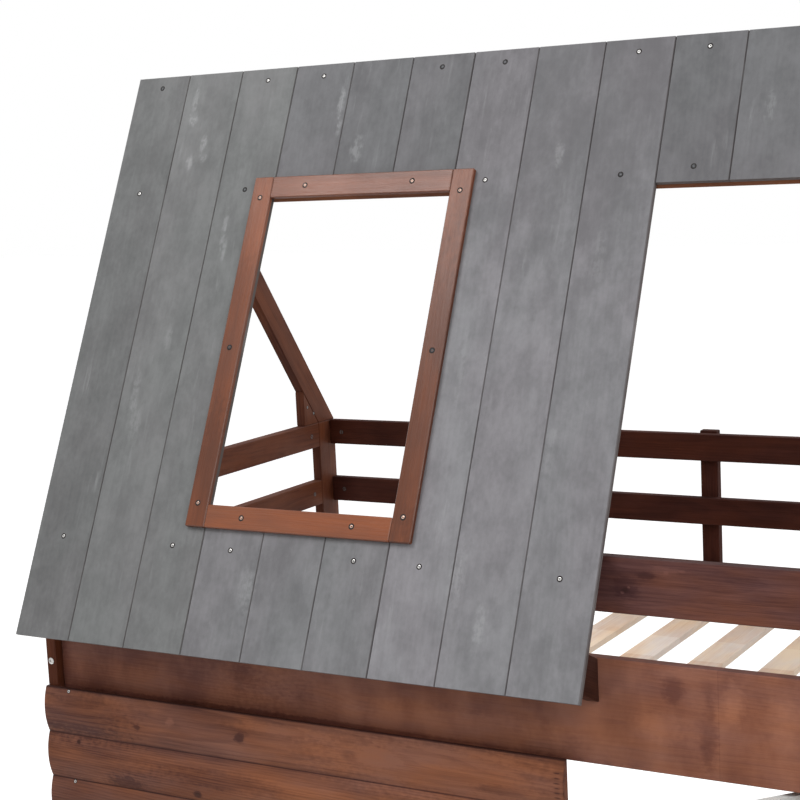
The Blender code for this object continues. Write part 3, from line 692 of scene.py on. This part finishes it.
roof_shades = {
    "roof_panel_middle": [(on_roof(0.990, 1.130), (0.460, 0.400), -0.31)],
    "roof_panel_under_window": [(on_roof(0.595, 0.130), (0.180, 0.080), -0.17)],
    "roof_panel_left": [(on_roof(0.200, 1.160), (0.200, 0.300), 0.12),
                        (on_roof(0.235, 1.070), (0.120, 0.060), -0.13)]}
roof_left = place(roof_left_edge, 0.0, 0.0)[0]
for order, (node, gray) in enumerate(panel_grays.items()):
    low, high = extent(node)
    dabs = [(on_roof(x, along), (long, wide), strength) for x, along, long, wide, strength in roof_dabs
            if low[0] <= x < high[0]]
    dress(node, washed_board(node + "_finish", slope_way, x_way, middle_of(node), order + 1, roof_left,
                             roof_board_width, gray, dabs, roof_shades.get(node, ())))

zinc = metal("zinc_finish", tone(205, 203, 200), 0.32)
dull_zinc = metal("dull_zinc_finish", tone(150, 148, 146), 0.42)
# The window screws' zinc is tinted pinkish brown: a painted reflection of the stained wood round them
zinc_with_painted_reflection = metal("window_screw_finish", tone(214, 184, 168), 0.35, 0.8)
dark_steel = metal("dark_steel_finish", tone(84, 86, 88), 0.5, 0.7)
nut_steel = metal("barrel_nut_finish", tone(126, 118, 116), 0.42)
# Dark rims round sunk heads and nuts: painted shadow of their countersinks and bores
recess = metal("recess_shadow_finish", tone(26, 18, 16), 0.8, 0.0)
for node in ("door_hinge_lower_door_leaf", "door_hinge_lower_post_leaf", "door_hinge_upper_door_leaf",
             "door_hinge_upper_post_leaf", "door_knob"):
    dress(node, zinc)


# Heads of screws, bolts and barrel nuts: sizes, and shares of a head's radius or rise
head_steps = 14
head_turn = 1.3
seat_depth = 0.0006
dome_fall_share = 0.55
skirt_share = 0.8
cross_width_share = 0.26
cross_reach_share = 0.7
cross_depth_share = 0.33
cross_fade_share = 0.6
bolt_skirt_share = 0.6
bolt_fall_share = 0.85
socket_share = 0.36
socket_depth_share = 0.9
socket_fade_share = 0.92
rim_start_share = 1.02
screw_rim_rise = 0.00025
nut_face = 0.0004
nut_slot_share = 0.2
nut_slot_depth = 0.0009
nut_rim_share = 0.14
nut_rim_rise = 0.0001


# Surfaces
merge_distance = 1e-6
usual_smooth_angle = 35.0


def surface(name, points, material, body, caps=False, smooth_angle=usual_smooth_angle):
    """Mesh of one or more closed sheets. points is copies x rows x columns x 3; columns close round.

    Each cell of the grid is one face. Rows that shrink to a point close a pole, and caps adds a flat
    face over the first and the last row.
    """
    copies, rows, columns, _ = points.shape
    index = np.arange(copies * rows * columns).reshape(copies, rows, columns)
    after = np.roll(index, -1, axis=2)
    quads = np.stack((index[:, :-1], after[:, :-1], after[:, 1:], index[:, 1:]), axis=-1).reshape(-1, 4)
    faces = quads.tolist()
    if caps:
        faces += index[:, 0, ::-1].tolist() + index[:, -1].tolist()
    mesh = bpy.data.meshes.new(name)
    mesh.from_pydata(points.reshape(-1, 3), [], faces)
    shape = bmesh.new()
    shape.from_mesh(mesh)
    bmesh.ops.remove_doubles(shape, verts=shape.verts, dist=merge_distance)
    bmesh.ops.dissolve_degenerate(shape, edges=shape.edges, dist=merge_distance)
    bmesh.ops.recalc_face_normals(shape, faces=shape.faces)
    shape.to_mesh(mesh)
    shape.free()
    mesh.shade_smooth()
    mesh.set_sharp_from_angle(angle=math.radians(smooth_angle))
    mesh.materials.append(material)
    piece = bpy.data.objects.new(name, mesh)
    bpy.context.scene.collection.objects.link(piece)
    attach(piece, body)
    return piece


def axes_for(outward, turn):
    """Unit axes for each place: outward, and two across it, turned by an angle. Arrays of copies x 3."""
    out_way = np.asarray(outward, float)
    out_way /= np.linalg.norm(out_way, axis=1, keepdims=True)
    helper = np.where(np.abs(out_way[:, 2:]) > 0.8, x_way, z_way)
    first = np.cross(helper, out_way)
    first /= np.linalg.norm(first, axis=1, keepdims=True)
    second = np.cross(out_way, first)
    turn = np.asarray(turn, float)[:, None]
    return out_way, first * np.cos(turn) + second * np.sin(turn), second * np.cos(turn) - first * np.sin(turn)


def turned(places, outward, profile, recess_shape=None, segments=28):
    """Turned parts at many places: a profile of (radius, height) carried round each outward axis.

    recess_shape gives a depth to sink each point by, from its place across the head.
    """
    places = np.asarray(places, float)
    out_way, first, second = axes_for(outward, np.arange(len(places)) * head_turn)
    angle = np.arange(segments) * math.tau / segments
    radius, height = np.asarray(profile, float).T
    across = radius[:, None] * np.cos(angle)
    along = radius[:, None] * np.sin(angle)
    up = np.repeat(height[:, None], segments, axis=1)
    if recess_shape:
        up = up - recess_shape(across, along)
    return (places[:, None, None, :]
            + across[None, :, :, None] * first[:, None, None, :]
            + along[None, :, :, None] * second[:, None, None, :]
            + up[None, :, :, None] * out_way[:, None, None, :])


def smooth(value, low, high):
    """Smooth step from 0 at low to 1 at high."""
    share = np.clip((value - low) / (high - low), 0.0, 1.0)
    return share * share * (3.0 - 2.0 * share)


def cross_recess(width, reach, depth):
    """Depth of a cross-shaped drive: a slot each way that runs out before a radius."""
    def cut(across, along):
        """Depth at a place on the head."""
        arm = np.minimum(np.abs(across), np.abs(along))
        in_arm = 1.0 - smooth(arm, width / 2, width)
        in_reach = 1.0 - smooth(np.hypot(across, along), reach * cross_fade_share, reach)
        return depth * in_arm * in_reach
    return cut


def hex_recess(flat, depth):
    """Depth of a hexagonal socket with the given distance from its middle to a flat."""
    def cut(across, along):
        """Depth at a place on the head."""
        angle = np.arctan2(along, across)
        sector = math.tau / 6.0
        reach = np.hypot(across, along) * np.cos(np.mod(angle, sector) - sector / 2.0)
        return depth * (1.0 - smooth(reach, flat * socket_fade_share, flat))
    return cut


def slot_recess(width, depth):
    """Depth of a straight screwdriver slot right across a head."""
    def cut(_, along):
        """Depth at a place on the head."""
        return depth * (1.0 - smooth(np.abs(along), width / 2, width))
    return cut


def head_profile(radius, rise):
    """Countersunk head: a low dome over its rim, closed by a skirt that goes into the wood."""
    shares = np.linspace(0.0, 1.0, head_steps)
    dome = [(radius * share, rise * (1.0 - dome_fall_share * share ** 4)) for share in shares]
    return dome + [(radius, 0.0), (radius * skirt_share, -seat_depth), (0.0, -seat_depth)]


def rim_profile(radius, width, rise):
    """Dark rim round a sunk head, a painted shadow of its countersink: a ring that rises from the wood and
    falls to the head.
    """
    turn = np.linspace(0.0, math.pi, 7)
    top = [(radius + width * (1.0 - math.cos(angle)) / 2.0, rise * math.sin(angle)) for angle in turn]
    return top + [(radius + width, -seat_depth), (radius, -seat_depth), (radius, 0.0)]


def screws(name, places, outward, material, body="bed_frame", radius=0.0034, rim=0.0013, rise=0.0006):
    """Countersunk screw heads with a cross drive, each in a dark rim: a painted shadow of its countersink."""
    drive = cross_recess(radius * cross_width_share, radius * cross_reach_share, radius * cross_depth_share)
    heads = turned(places, outward, head_profile(radius, rise), recess_shape=drive)
    surface(name, heads, material, body)
    rims = turned(places, outward, rim_profile(radius * rim_start_share, rim, screw_rim_rise))
    surface(name + "_rims", rims, recess, body)


def bolts(name, places, outward, material, radius=0.0065, rise=0.0022):
    """Round furniture bolt heads: a shallow dome with a hexagonal socket."""
    shares = np.linspace(0.0, 1.0, head_steps)
    dome = [(radius * share, rise * math.sqrt(1.0 - bolt_fall_share * share ** 2.5)) for share in shares]
    profile = dome + [(radius, 0.0), (radius * bolt_skirt_share, -seat_depth), (0.0, -seat_depth)]
    socket = hex_recess(radius * socket_share, rise * socket_depth_share)
    heads = turned(places, outward, profile, recess_shape=socket, segments=36)
    surface(name, heads, material, "bed_frame")


def barrel_nuts(name, places, outward, material, radius=0.005):
    """Ends of barrel nuts: a flat disc with a slot, and a dark ring round it: a painted shadow of the bore.
    """
    shares = np.linspace(0.0, 1.0, head_steps)
    profile = [(radius * share, nut_face) for share in shares] + [(radius, -seat_depth), (0.0, -seat_depth)]
    slot = slot_recess(radius * nut_slot_share, nut_slot_depth)
    discs = turned(places, outward, profile, recess_shape=slot, segments=32)
    surface(name, discs, material, "bed_frame")
    ring = rim_profile(radius * rim_start_share, radius * nut_rim_share, nut_rim_rise)
    rims = turned(places, outward, ring, segments=32)
    surface(name + "_rims", rims, recess, "bed_frame")


def board_middle(number):
    """X of the middle of a roof board, counted from 1."""
    return roof_left_edge + (number - 0.5) * roof_board_width


# Rows of screws up the slope. Some of the heads are dull, and one stands a little aside.
top_row = 1.150
second_row = 0.915
header_row = 0.925
eave_row = 0.199
aside = 0.002
roof_places = [(board_middle(number), top_row) for number in (3, 4, 9, 10, 12, 13, 15)]
roof_places += [(board_middle(number), second_row) for number in (1, 7)]
roof_places += [(board_middle(number), header_row) for number in (12, 13, 15)]
roof_places += [(board_middle(number), eave_row) for number in (1, 3, 4, 6, 7, 9)]
dull_places = [(board_middle(number), top_row) for number in (1, 6, 7)]
dull_places += [(board_middle(3) - aside, second_row), (board_middle(9), second_row),
                (board_middle(10), header_row)]


def slope_screws(name, places, above, material, radius, rim):
    """Screws in a face of the slope. Each place is along the bed and up the slope."""
    spots = [on_roof(x, along, above) for x, along in places]
    screws(name, spots, [slope_out] * len(spots), material, radius=radius, rim=rim)


roof_screw_radius = 0.0031
roof_screw_rim = 0.0022
slope_screws("roof_screws", roof_places, 0.0, zinc, roof_screw_radius, roof_screw_rim)
slope_screws("dull_roof_screws", dull_places, 0.0, dark_steel, roof_screw_radius, roof_screw_rim)

window_screw_radius = 0.0029
window_screw_rim = 0.0028
window_top = touching + window_thickness
stile_middles = (0.3810, 0.8215)
stile_rows = (0.892, 0.281)
window_rail_screws = [(0.4805, 0.9145), (0.7170, 0.9145), (0.4846, 0.258), (0.7210, 0.258)]
window_places = [(x, along) for x in stile_middles for along in stile_rows] + window_rail_screws
slope_screws("window_screws", window_places, window_top, zinc_with_painted_reflection, window_screw_radius, window_screw_rim)
stained_row = 0.5855
stained_places = [(x, stained_row) for x in stile_middles]
slope_screws("stained_screws", stained_places, window_top, dark_steel, window_screw_radius, window_screw_rim)

# Log siding. Each row of the long waves in its planed faces gives the turn along and up, in radians per
# metre, the turn from board to board, and the wave's share.
siding_count = 5
log_smooth_angle = 40.0
log_wave_shares = ((9.0, 60.0, 1.0, 0.35), (23.0, -31.0, 2.1, 0.20))
log_stations = 90
log_columns = 22
log_edge = 0.0080
log_bulge = 0.0100
siding_end_ease = 0.0012
planing_wave = 0.0005
siding_shades = (1.0, 0.90, 0.96)
siding_marks = marks_at(0.0, [
    (0.4717, 0.9049, 0.014, 0.012, 0.75), (0.0784, 0.8457, 0.005, 0.004, 1.0),
    (0.365, 0.779, 0.012, 0.008, 1.0), (0.2296, 0.8954, 0.01, 0.006, 0.6),
    (0.7731, 0.9093, 0.05, 0.02, -0.22), (0.765, 0.913, 0.016, 0.01, -0.3),
    (0.805, 0.906, 0.02, 0.007, -0.25), (0.7107, 0.9045, 0.02, 0.012, 0.35), (0.08, 0.9, 0.16, 0.06, 0.4),
    (0.08, 0.81, 0.2, 0.07, 0.3), (0.42, 0.815, 0.16, 0.022, 0.3), (0.9, 0.895, 0.3, 0.07, -0.42),
    (0.3105, 0.9154, 0.012, 0.01, -0.35), (0.19, 0.77, 0.05, 0.03, 0.45),
    (1.0083, 0.883, 0.06, 0.01, 0.45), (0.56, 0.93, 0.14, 0.012, -0.3), (0.22, 0.835, 0.12, 0.008, -0.25),
    (0.9, 0.92, 0.12, 0.012, 0.2)])

# Short chatter marks that the cutter left near the right end of the top board
chatter_count = 7
chatter_pitch = 0.0085
chatter_inset = 0.012
chatter_drop = 0.022
siding_marks += marks_at(0.0, [
    (siding_right - chatter_inset, siding_top - chatter_drop - step * chatter_pitch, 0.007, 0.0016, 0.7)
    for step in range(chatter_count)])


def log_board(number, name):
    """One siding board. Its section has two round faces, each a parabola across the log, and a flat back.

    The section is carried along X, and the faces sink by a fraction of a millimetre in long waves, as a
    planed log does. The ends are eased.
    """
    node = "siding_board_" + str(number + 1)
    low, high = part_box(node)
    long = high[0] - low[0]
    share = np.linspace(0.0, 1.0, logs_on_board * log_columns + 1)
    inside = np.mod(share * logs_on_board, 1.0)
    inside[-1] = 1.0
    round_face = log_bulge * (1.0 - (2.0 * inside - 1.0) ** 2)
    section_y = np.concatenate(([high[1]], high[1] - log_edge - round_face, [high[1]]))
    section_z = np.concatenate(([high[2]], high[2] - share * (high[2] - low[2]), [low[2]]))
    crown = np.concatenate(([0.0], np.sin(math.pi * inside) ** 2, [0.0]))
    is_face = np.concatenate(([0.0], np.ones_like(share), [0.0]))
    along = np.concatenate(([0.0, siding_end_ease], np.linspace(0.01, 0.99, log_stations) * long,
                            [long - siding_end_ease, long]))
    wave = sum(np.sin(along[:, None] * long_turn + section_z * tall_turn + number * board_turn) * wave_share
               for long_turn, tall_turn, board_turn, wave_share in log_wave_shares)
    sink = planing_wave * (0.55 - wave) * crown
    end = np.zeros(len(along))
    end[0] = end[-1] = siding_end_ease
    points = np.empty((1, len(along), len(section_y), 3))
    points[0, :, :, 0] = low[0] + along[:, None]
    points[0, :, :, 1] = section_y + sink + end[:, None] * is_face
    points[0, :, :, 2] = section_z
    shade = siding_shades[number % len(siding_shades)]
    look = dict(siding_look)
    for part in ("thin", "deep"):
        look[part] = scaled(siding_look[part], shade)
    marks = [mark for mark in siding_marks if low[2] < mark[0][2] < high[2]]
    seed = siding_seed + number * siding_seed_step
    material = stained_board(name + "_finish", x_way, z_way, middle_of(node), seed, look, marks,
                             seams=(high[2], log_height))
    piece = surface(name, points, material, "bed_frame",
                    caps=True, smooth_angle=log_smooth_angle)
    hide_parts(node)


for order in range(siding_count):
    log_board(order, "log_siding_" + str(order + 1))


# The cleat under the roof's corner
def rounded(outline, radius, steps=4):
    """Outline with each corner replaced by a curve that starts and ends radius away from it."""
    corners = np.asarray(outline, float)
    before = np.roll(corners, 1, axis=0) - corners
    after = np.roll(corners, -1, axis=0) - corners
    before /= np.linalg.norm(before, axis=1, keepdims=True)
    after /= np.linalg.norm(after, axis=1, keepdims=True)
    share = np.linspace(0.0, 1.0, steps)[None, :, None]
    start = (corners + before * radius)[:, None, :]
    stop = (corners + after * radius)[:, None, :]
    bend = corners[:, None, :]
    return (start * (1 - share) ** 2 + bend * 2 * share * (1 - share) + stop * share ** 2).reshape(-1, 2)


def bar(name, outline, start, end, ease, material):
    """Prism along X over an outline in YZ, with eased corners and ends."""
    section = rounded(outline, ease)
    away = section - section.mean(axis=0)
    inner = section - away * ease / np.linalg.norm(away, axis=1, keepdims=True)
    rows = [(start, inner), (start + ease, section), (end - ease, section), (end, inner)]
    points = np.array([[[x, y, z] for y, z in ring] for x, ring in rows])[None]
    return surface(name, points, material, "bed_frame", caps=True)


cleat_left = 1.1575
cleat_thickness = 0.024
cleat_rise = 0.1076
cleat_drop = 0.0008
cleat_clear = 0.0006
cleat_ease = 0.0012
cleat_low = upper_rail + cleat_rise
cleat_high = rail_top - cleat_drop


def up_to_roof(y, z):
    """Point on the boards' underside that lies square to the slope from a point in YZ."""
    above_board = (y - eave[0]) * slope_out[1] + (z - eave[1]) * slope_out[2]
    reach = -(roof_board + cleat_clear) - above_board
    return (y + reach * slope_out[1], z + reach * slope_out[2])


cleat_back = rail_front - touching
cleat_outline = [(cleat_back, cleat_low), (cleat_back, cleat_high), up_to_roof(cleat_back, cleat_high),
                 up_to_roof(cleat_back, cleat_low)]
cleat_start = place(cleat_left, 0.0, 0.0)[0]
cleat_finish = stained_board("roof_cleat_finish", slope_out, x_way, place(cleat_left, 0.0, cleat_low),
                             cleat_seed, cleat_look)
bar("roof_cleat", [place(0.0, y, z)[1:] for y, z in cleat_outline], cleat_start,
    cleat_start + cleat_thickness, cleat_ease, cleat_finish)


# Bolts and barrel nuts of the end frames
half_board = end_board / 2
post_width = extent("left_front_post")[1][1]
bed_rail_bolt_rise = 0.059
mid_rail_bolt_drop = 0.1715
top_rail_bolt_drop = 0.0295
lower_rail_bolt_rises = (0.035, 0.100)
bed_rail_bolt = upper_rail + bed_rail_bolt_rise
mid_rail_bolt = guard_top - mid_rail_bolt_drop
top_rail_bolt = guard_top - top_rail_bolt_drop
lower_rail_bolts = [lower_rail + rise for rise in lower_rail_bolt_rises]
nut_inset = 0.034
side_bolt_depth = 0.011
lower_rail_setback = 0.0225
front_side_rises = (0.060, 0.140)
rear_side_rise = 0.048
lower_side_rises = (0.040, 0.100)
upper_nut_rise = 0.060
lower_nut_rise = 0.070
front_side = rail_front + side_bolt_depth
rear_side = rear_rail_front + side_bolt_depth
side_bolts = [(front_side, upper_rail + rise) for rise in front_side_rises]
side_bolts += [(rear_side, z) for z in (upper_rail + rear_side_rise, mid_rail_bolt, top_rail_bolt)]
side_bolts += [(y, lower_rail + rise) for y in (front_side + lower_rail_setback, rear_side)
               for rise in lower_side_rises]
rear_heights = (bed_rail_bolt, mid_rail_bolt, top_rail_bolt, *lower_rail_bolts)
face_nut_heights = (mid_rail_bolt, top_rail_bolt, upper_rail + upper_nut_rise, lower_rail + lower_nut_rise)
bolt_heads = []
flush_heads = []
nut_ends = []
for outer_x, toward in ((0.0, 1.0), (bed_length, -1.0)):
    inward = (toward, 0.0, 0.0)
    outward = (-toward, 0.0, 0.0)
    board_x = outer_x + toward * half_board
    inner_x = outer_x + toward * end_board
    front_heights = [bed_rail_bolt, mid_rail_bolt]
    if toward < 0.0:
        front_heights += lower_rail_bolts
    bolt_heads += [(place(board_x, 0.0, z), front) for z in front_heights]
    bolt_heads += [(place(board_x, bed_back, z), y_way) for z in rear_heights]
    nut_ends += [(place(inner_x, bed_back - post_width - nut_inset, z), inward) for z in rear_heights]
    flush_heads += [(place(outer_x, y, z), outward) for y, z in side_bolts]
    nut_x = inner_x + toward * nut_inset
    nut_ends += [(place(nut_x, rear_rail_front, z), front) for z in face_nut_heights]

# Bolts that hold the ladder to the front rail, through the stringers' front edges
ladder_foot_width = 0.062
ladder_foot_reach = 0.300
ladder_bearing_rise = 0.090
ladder_bolt_rises = (0.065, 0.120)
stringer_low, stringer_high = extent("ladder_left_stringer")
right_stringer_low = extent("ladder_right_stringer")[0]
stringer_board = stringer_high[0] - stringer_low[0]
ladder_run = rail_front - touching - (ladder_foot_width - ladder_foot_reach)
ladder_lean = ladder_run / (upper_rail + ladder_bearing_rise)
lean_length = math.hypot(1.0, ladder_lean)
ladder_out = (0.0, -1.0 / lean_length, ladder_lean / lean_length)
for left_x in (stringer_low[0], right_stringer_low[0]):
    for rise in ladder_bolt_rises:
        z = upper_rail + rise
        spot = place(left_x + stringer_board / 2, stringer_low[1] + z * ladder_lean, z)
        bolt_heads.append((spot, ladder_out))
bolts("frame_bolts", *zip(*bolt_heads), zinc)
flush_bolt_rise = 0.0004
bolts("flush_bolts", *zip(*flush_heads), zinc, rise=flush_bolt_rise)
barrel_nuts("barrel_nuts", *zip(*nut_ends), nut_steel)


# Smaller screws
def screw_row(name, heads, material, **settings):
    """Screws from a list of pairs of a place and its outward direction."""
    places, ways = zip(*heads)
    screws(name, places, ways, material, **settings)


small_screw_radius = 0.0028
ledge_screw_radius = 0.0030
guard_screw_rise = 0.0002
gusset_screw_places = ((0.948, 0.044), (0.974, 0.026))
gusset_heads = [(place(x, y, guard_top + rise), way)
                for x, way in ((end_board, x_way), (bed_length - end_board, leftward))
                for y, rise in gusset_screw_places]
screw_row("gusset_screws", gusset_heads, dull_zinc, radius=small_screw_radius)

# A screw near the top of each siding board, tilted as the log's face is there
siding_screw_x = 0.0597
siding_screw_share = 0.05
siding_face = -touching - log_edge - 4 * log_bulge * siding_screw_share * (1 - siding_screw_share)
siding_tilt = (0.0, -1.0, 4 * log_bulge * (1 - 2 * siding_screw_share) / log_height)
siding_heights = [siding_top - (logs_on_board * number + siding_screw_share) * log_height
                  for number in range(siding_count)]
siding_heads = [(place(siding_screw_x, siding_face, z), siding_tilt) for z in siding_heights]
screw_row("siding_screws", siding_heads, zinc, radius=small_screw_radius)

guard_back = extent("rear_guard_post")[1][1]
guard_heads = [(place(bed_length / 2, guard_back, z), y_way)
               for z in (mid_rail_bolt, top_rail_bolt, upper_rail + rear_side_rise)]
screw_row("rear_guard_screws", guard_heads, dull_zinc, rise=guard_screw_rise)

ledge_screw_count = 8
ledge_screw_rise = 0.009
ledge_screw_inset = 0.080
ledge_heads = []
for node, way in (("upper_front_rail", y_way), ("upper_rear_rail", front), ("lower_front_rail", y_way),
                  ("lower_rear_rail", front)):
    low, high = extent(node)
    y = high[1] if way is y_way else low[1]
    row = np.linspace(low[0] + ledge_screw_inset, high[0] - ledge_screw_inset, ledge_screw_count)
    ledge_heads += [(place(x, y, low[2] + ledge_screw_rise), way) for x in row]
screw_row("ledge_screws", ledge_heads, dull_zinc, radius=ledge_screw_radius)

rung_screw_inset = 0.016
rung_heads = []
for node in rungs:
    low, high = extent(node)
    for y in (low[1] + rung_screw_inset, high[1] - rung_screw_inset):
        z = (low[2] + high[2]) / 2
        rung_heads += [(place(stringer_low[0], y, z), leftward),
                       (place(right_stringer_low[0] + stringer_board, y, z), x_way)]
screw_row("rung_screws", rung_heads, dull_zinc, radius=ledge_screw_radius)

# Screws of the hinges and of the door's battens. Distances are from the hinges' pins.
door_axis = np.array(frame["joints"][0]["pos_m"][:2])
door_forward = 0.0045
hinge_plate = 0.0015
hinge_near = 0.0115
hinge_far = 0.0225
hinge_screw_inset = 0.010
hinge_plate_face = door_forward - touching - hinge_plate


def beside_door(across, behind, z):
    """Point of the scene: across the door from its pins, behind the pins' line, and up."""
    spot = door_axis - np.array(door_way[:2]) * across - np.array(door_out[:2]) * behind
    return (spot[0], spot[1], z)


hinge_heads = []
door_heads = []
for which in ("lower", "upper"):
    low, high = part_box("door_hinge_" + which + "_post_leaf")
    middle_z = (low[2] + high[2]) / 2
    for across, z in ((hinge_near, low[2] + hinge_screw_inset), (hinge_far, middle_z),
                      (hinge_near, high[2] - hinge_screw_inset)):
        hinge_heads.append(((door_axis[0] + across, door_axis[1] + hinge_plate_face, z), front))
    for across in (hinge_near, hinge_far):
        door_heads.append((beside_door(across, hinge_plate_face, middle_z), door_out))
hinge_screw = {"radius": 0.0022, "rim": 0.0006}
screw_row("hinge_post_screws", hinge_heads, dull_zinc, **hinge_screw)
screw_row("hinge_door_screws", door_heads, dull_zinc, body="door", **hinge_screw)

door_low, door_high = extent("door_leaf")
door_width = 0.386
leaf_start = 0.001
door_board = 0.015
batten_board = 0.012
batten_inset = 0.120
batten_screw_aside = 0.022
plank_count = 4
door_in = tuple(-value for value in door_out)
door_inner = door_forward + door_board + batten_board
batten_heads = []
for z in (door_low[2] + batten_inset, door_high[2] - batten_inset):
    for plank in range(plank_count):
        for offset in (-batten_screw_aside, batten_screw_aside):
            across = leaf_start + door_width * (plank + 0.5) / plank_count + offset
            batten_heads.append((beside_door(across, door_inner, z), door_in))
screw_row("batten_screws", batten_heads, dull_zinc, body="door", radius=small_screw_radius)

# Camera, floor and light
camera_spot = (2.32352, -2.52800, 1.94537)
camera_heading = math.radians(30.412)
camera_pitch = math.radians(-7.795)
camera_roll = math.radians(-2.723)
focal_length = 78.353
sensor_width = 36.0
lens = bpy.data.cameras.new("camera")
lens.lens = focal_length
lens.sensor_width = sensor_width
camera = bpy.data.objects.new("camera", lens)
bpy.context.scene.collection.objects.link(camera)
camera.matrix_world = (Matrix.Translation(place(*camera_spot))
                       @ Matrix.Rotation(camera_heading, 4, "Z")
                       @ Matrix.Rotation(math.pi / 2 + camera_pitch, 4, "X")
                       @ Matrix.Rotation(camera_roll, 4, "Z"))
bpy.context.scene.camera = camera

half_floor = 30.0
floor_drop = 0.0005
floor_glow = 0.72
floor_gray = (0.80, 0.80, 0.80, 1.0)
floor_roughness = 0.9
plain_white = (1.0, 1.0, 1.0, 1.0)
floor_mesh = bpy.data.meshes.new("floor")
floor_mesh.from_pydata([(-half_floor, -half_floor, 0.0), (half_floor, -half_floor, 0.0),
                        (half_floor, half_floor, 0.0), (-half_floor, half_floor, 0.0)], [], [(0, 1, 2, 3)])
floor = bpy.data.objects.new("floor", floor_mesh)
floor.location.z = -floor_drop
bpy.context.scene.collection.objects.link(floor)
floor_paint, fg, floor_shader = new_material("floor_paint")
floor_shader.inputs["Base Color"].default_value = floor_gray
floor_shader.inputs["Roughness"].default_value = floor_roughness
rays = fg.node("ShaderNodeLightPath").outputs
glow = fg.node("ShaderNodeEmission", {0: plain_white, 1: floor_glow}).outputs[0]
seen = fg.math("MAXIMUM", rays["Is Camera Ray"], rays["Is Glossy Ray"])
both = fg.node("ShaderNodeAddShader", {0: floor_shader.outputs[0], 1: glow}).outputs[0]
pick = fg.node("ShaderNodeMixShader", {0: seen, 1: floor_shader.outputs[0], 2: both}).outputs[0]
fg.tree.links.new(pick, floor_paint.node_tree.nodes["Material Output"].inputs["Surface"])
floor_mesh.materials.append(floor_paint)

# The world is plain white to the camera and in reflections, and lights the bed softly
world = bpy.data.worlds.new("studio")
world.use_nodes = True
bpy.context.scene.world = world
wg = Graph(world.node_tree)
world_rays = wg.node("ShaderNodeLightPath").outputs
white = wg.math("MAXIMUM", wg.math("MAXIMUM", world_rays["Is Camera Ray"], world_rays["Is Glossy Ray"]),
                world_rays["Is Transmission Ray"])
ambient_level = 0.34
strength = wg.math("ADD", ambient_level, wg.times(white, 1.0 - ambient_level))
backdrop = world.node_tree.nodes["Background"]
backdrop.inputs[0].default_value = plain_white
wg.tree.links.new(strength, backdrop.inputs[1])


def softbox(name, spot, aim, size, power):
    """Square soft light at spot, turned to aim."""
    lamp = bpy.data.lights.new(name, "AREA")
    lamp.shape = "SQUARE"
    lamp.size = size
    lamp.energy = power
    box = bpy.data.objects.new(name, lamp)
    box.location = spot
    box.rotation_euler = (Vector(aim) - Vector(spot)).to_track_quat("-Z", "Y").to_euler()
    bpy.context.scene.collection.objects.link(box)


bed_middle = (0.0, 0.0, 1.1)
softbox("key", (-1.9, -2.6, 5.4), bed_middle, 2.4, 105.0)
softbox("fill", (3.4, -2.8, 4.0), bed_middle, 3.0, 95.0)
softbox("back", (1.4, 3.2, 4.6), bed_middle, 3.0, 90.0)

bpy.context.scene.view_settings.view_transform = "Standard"
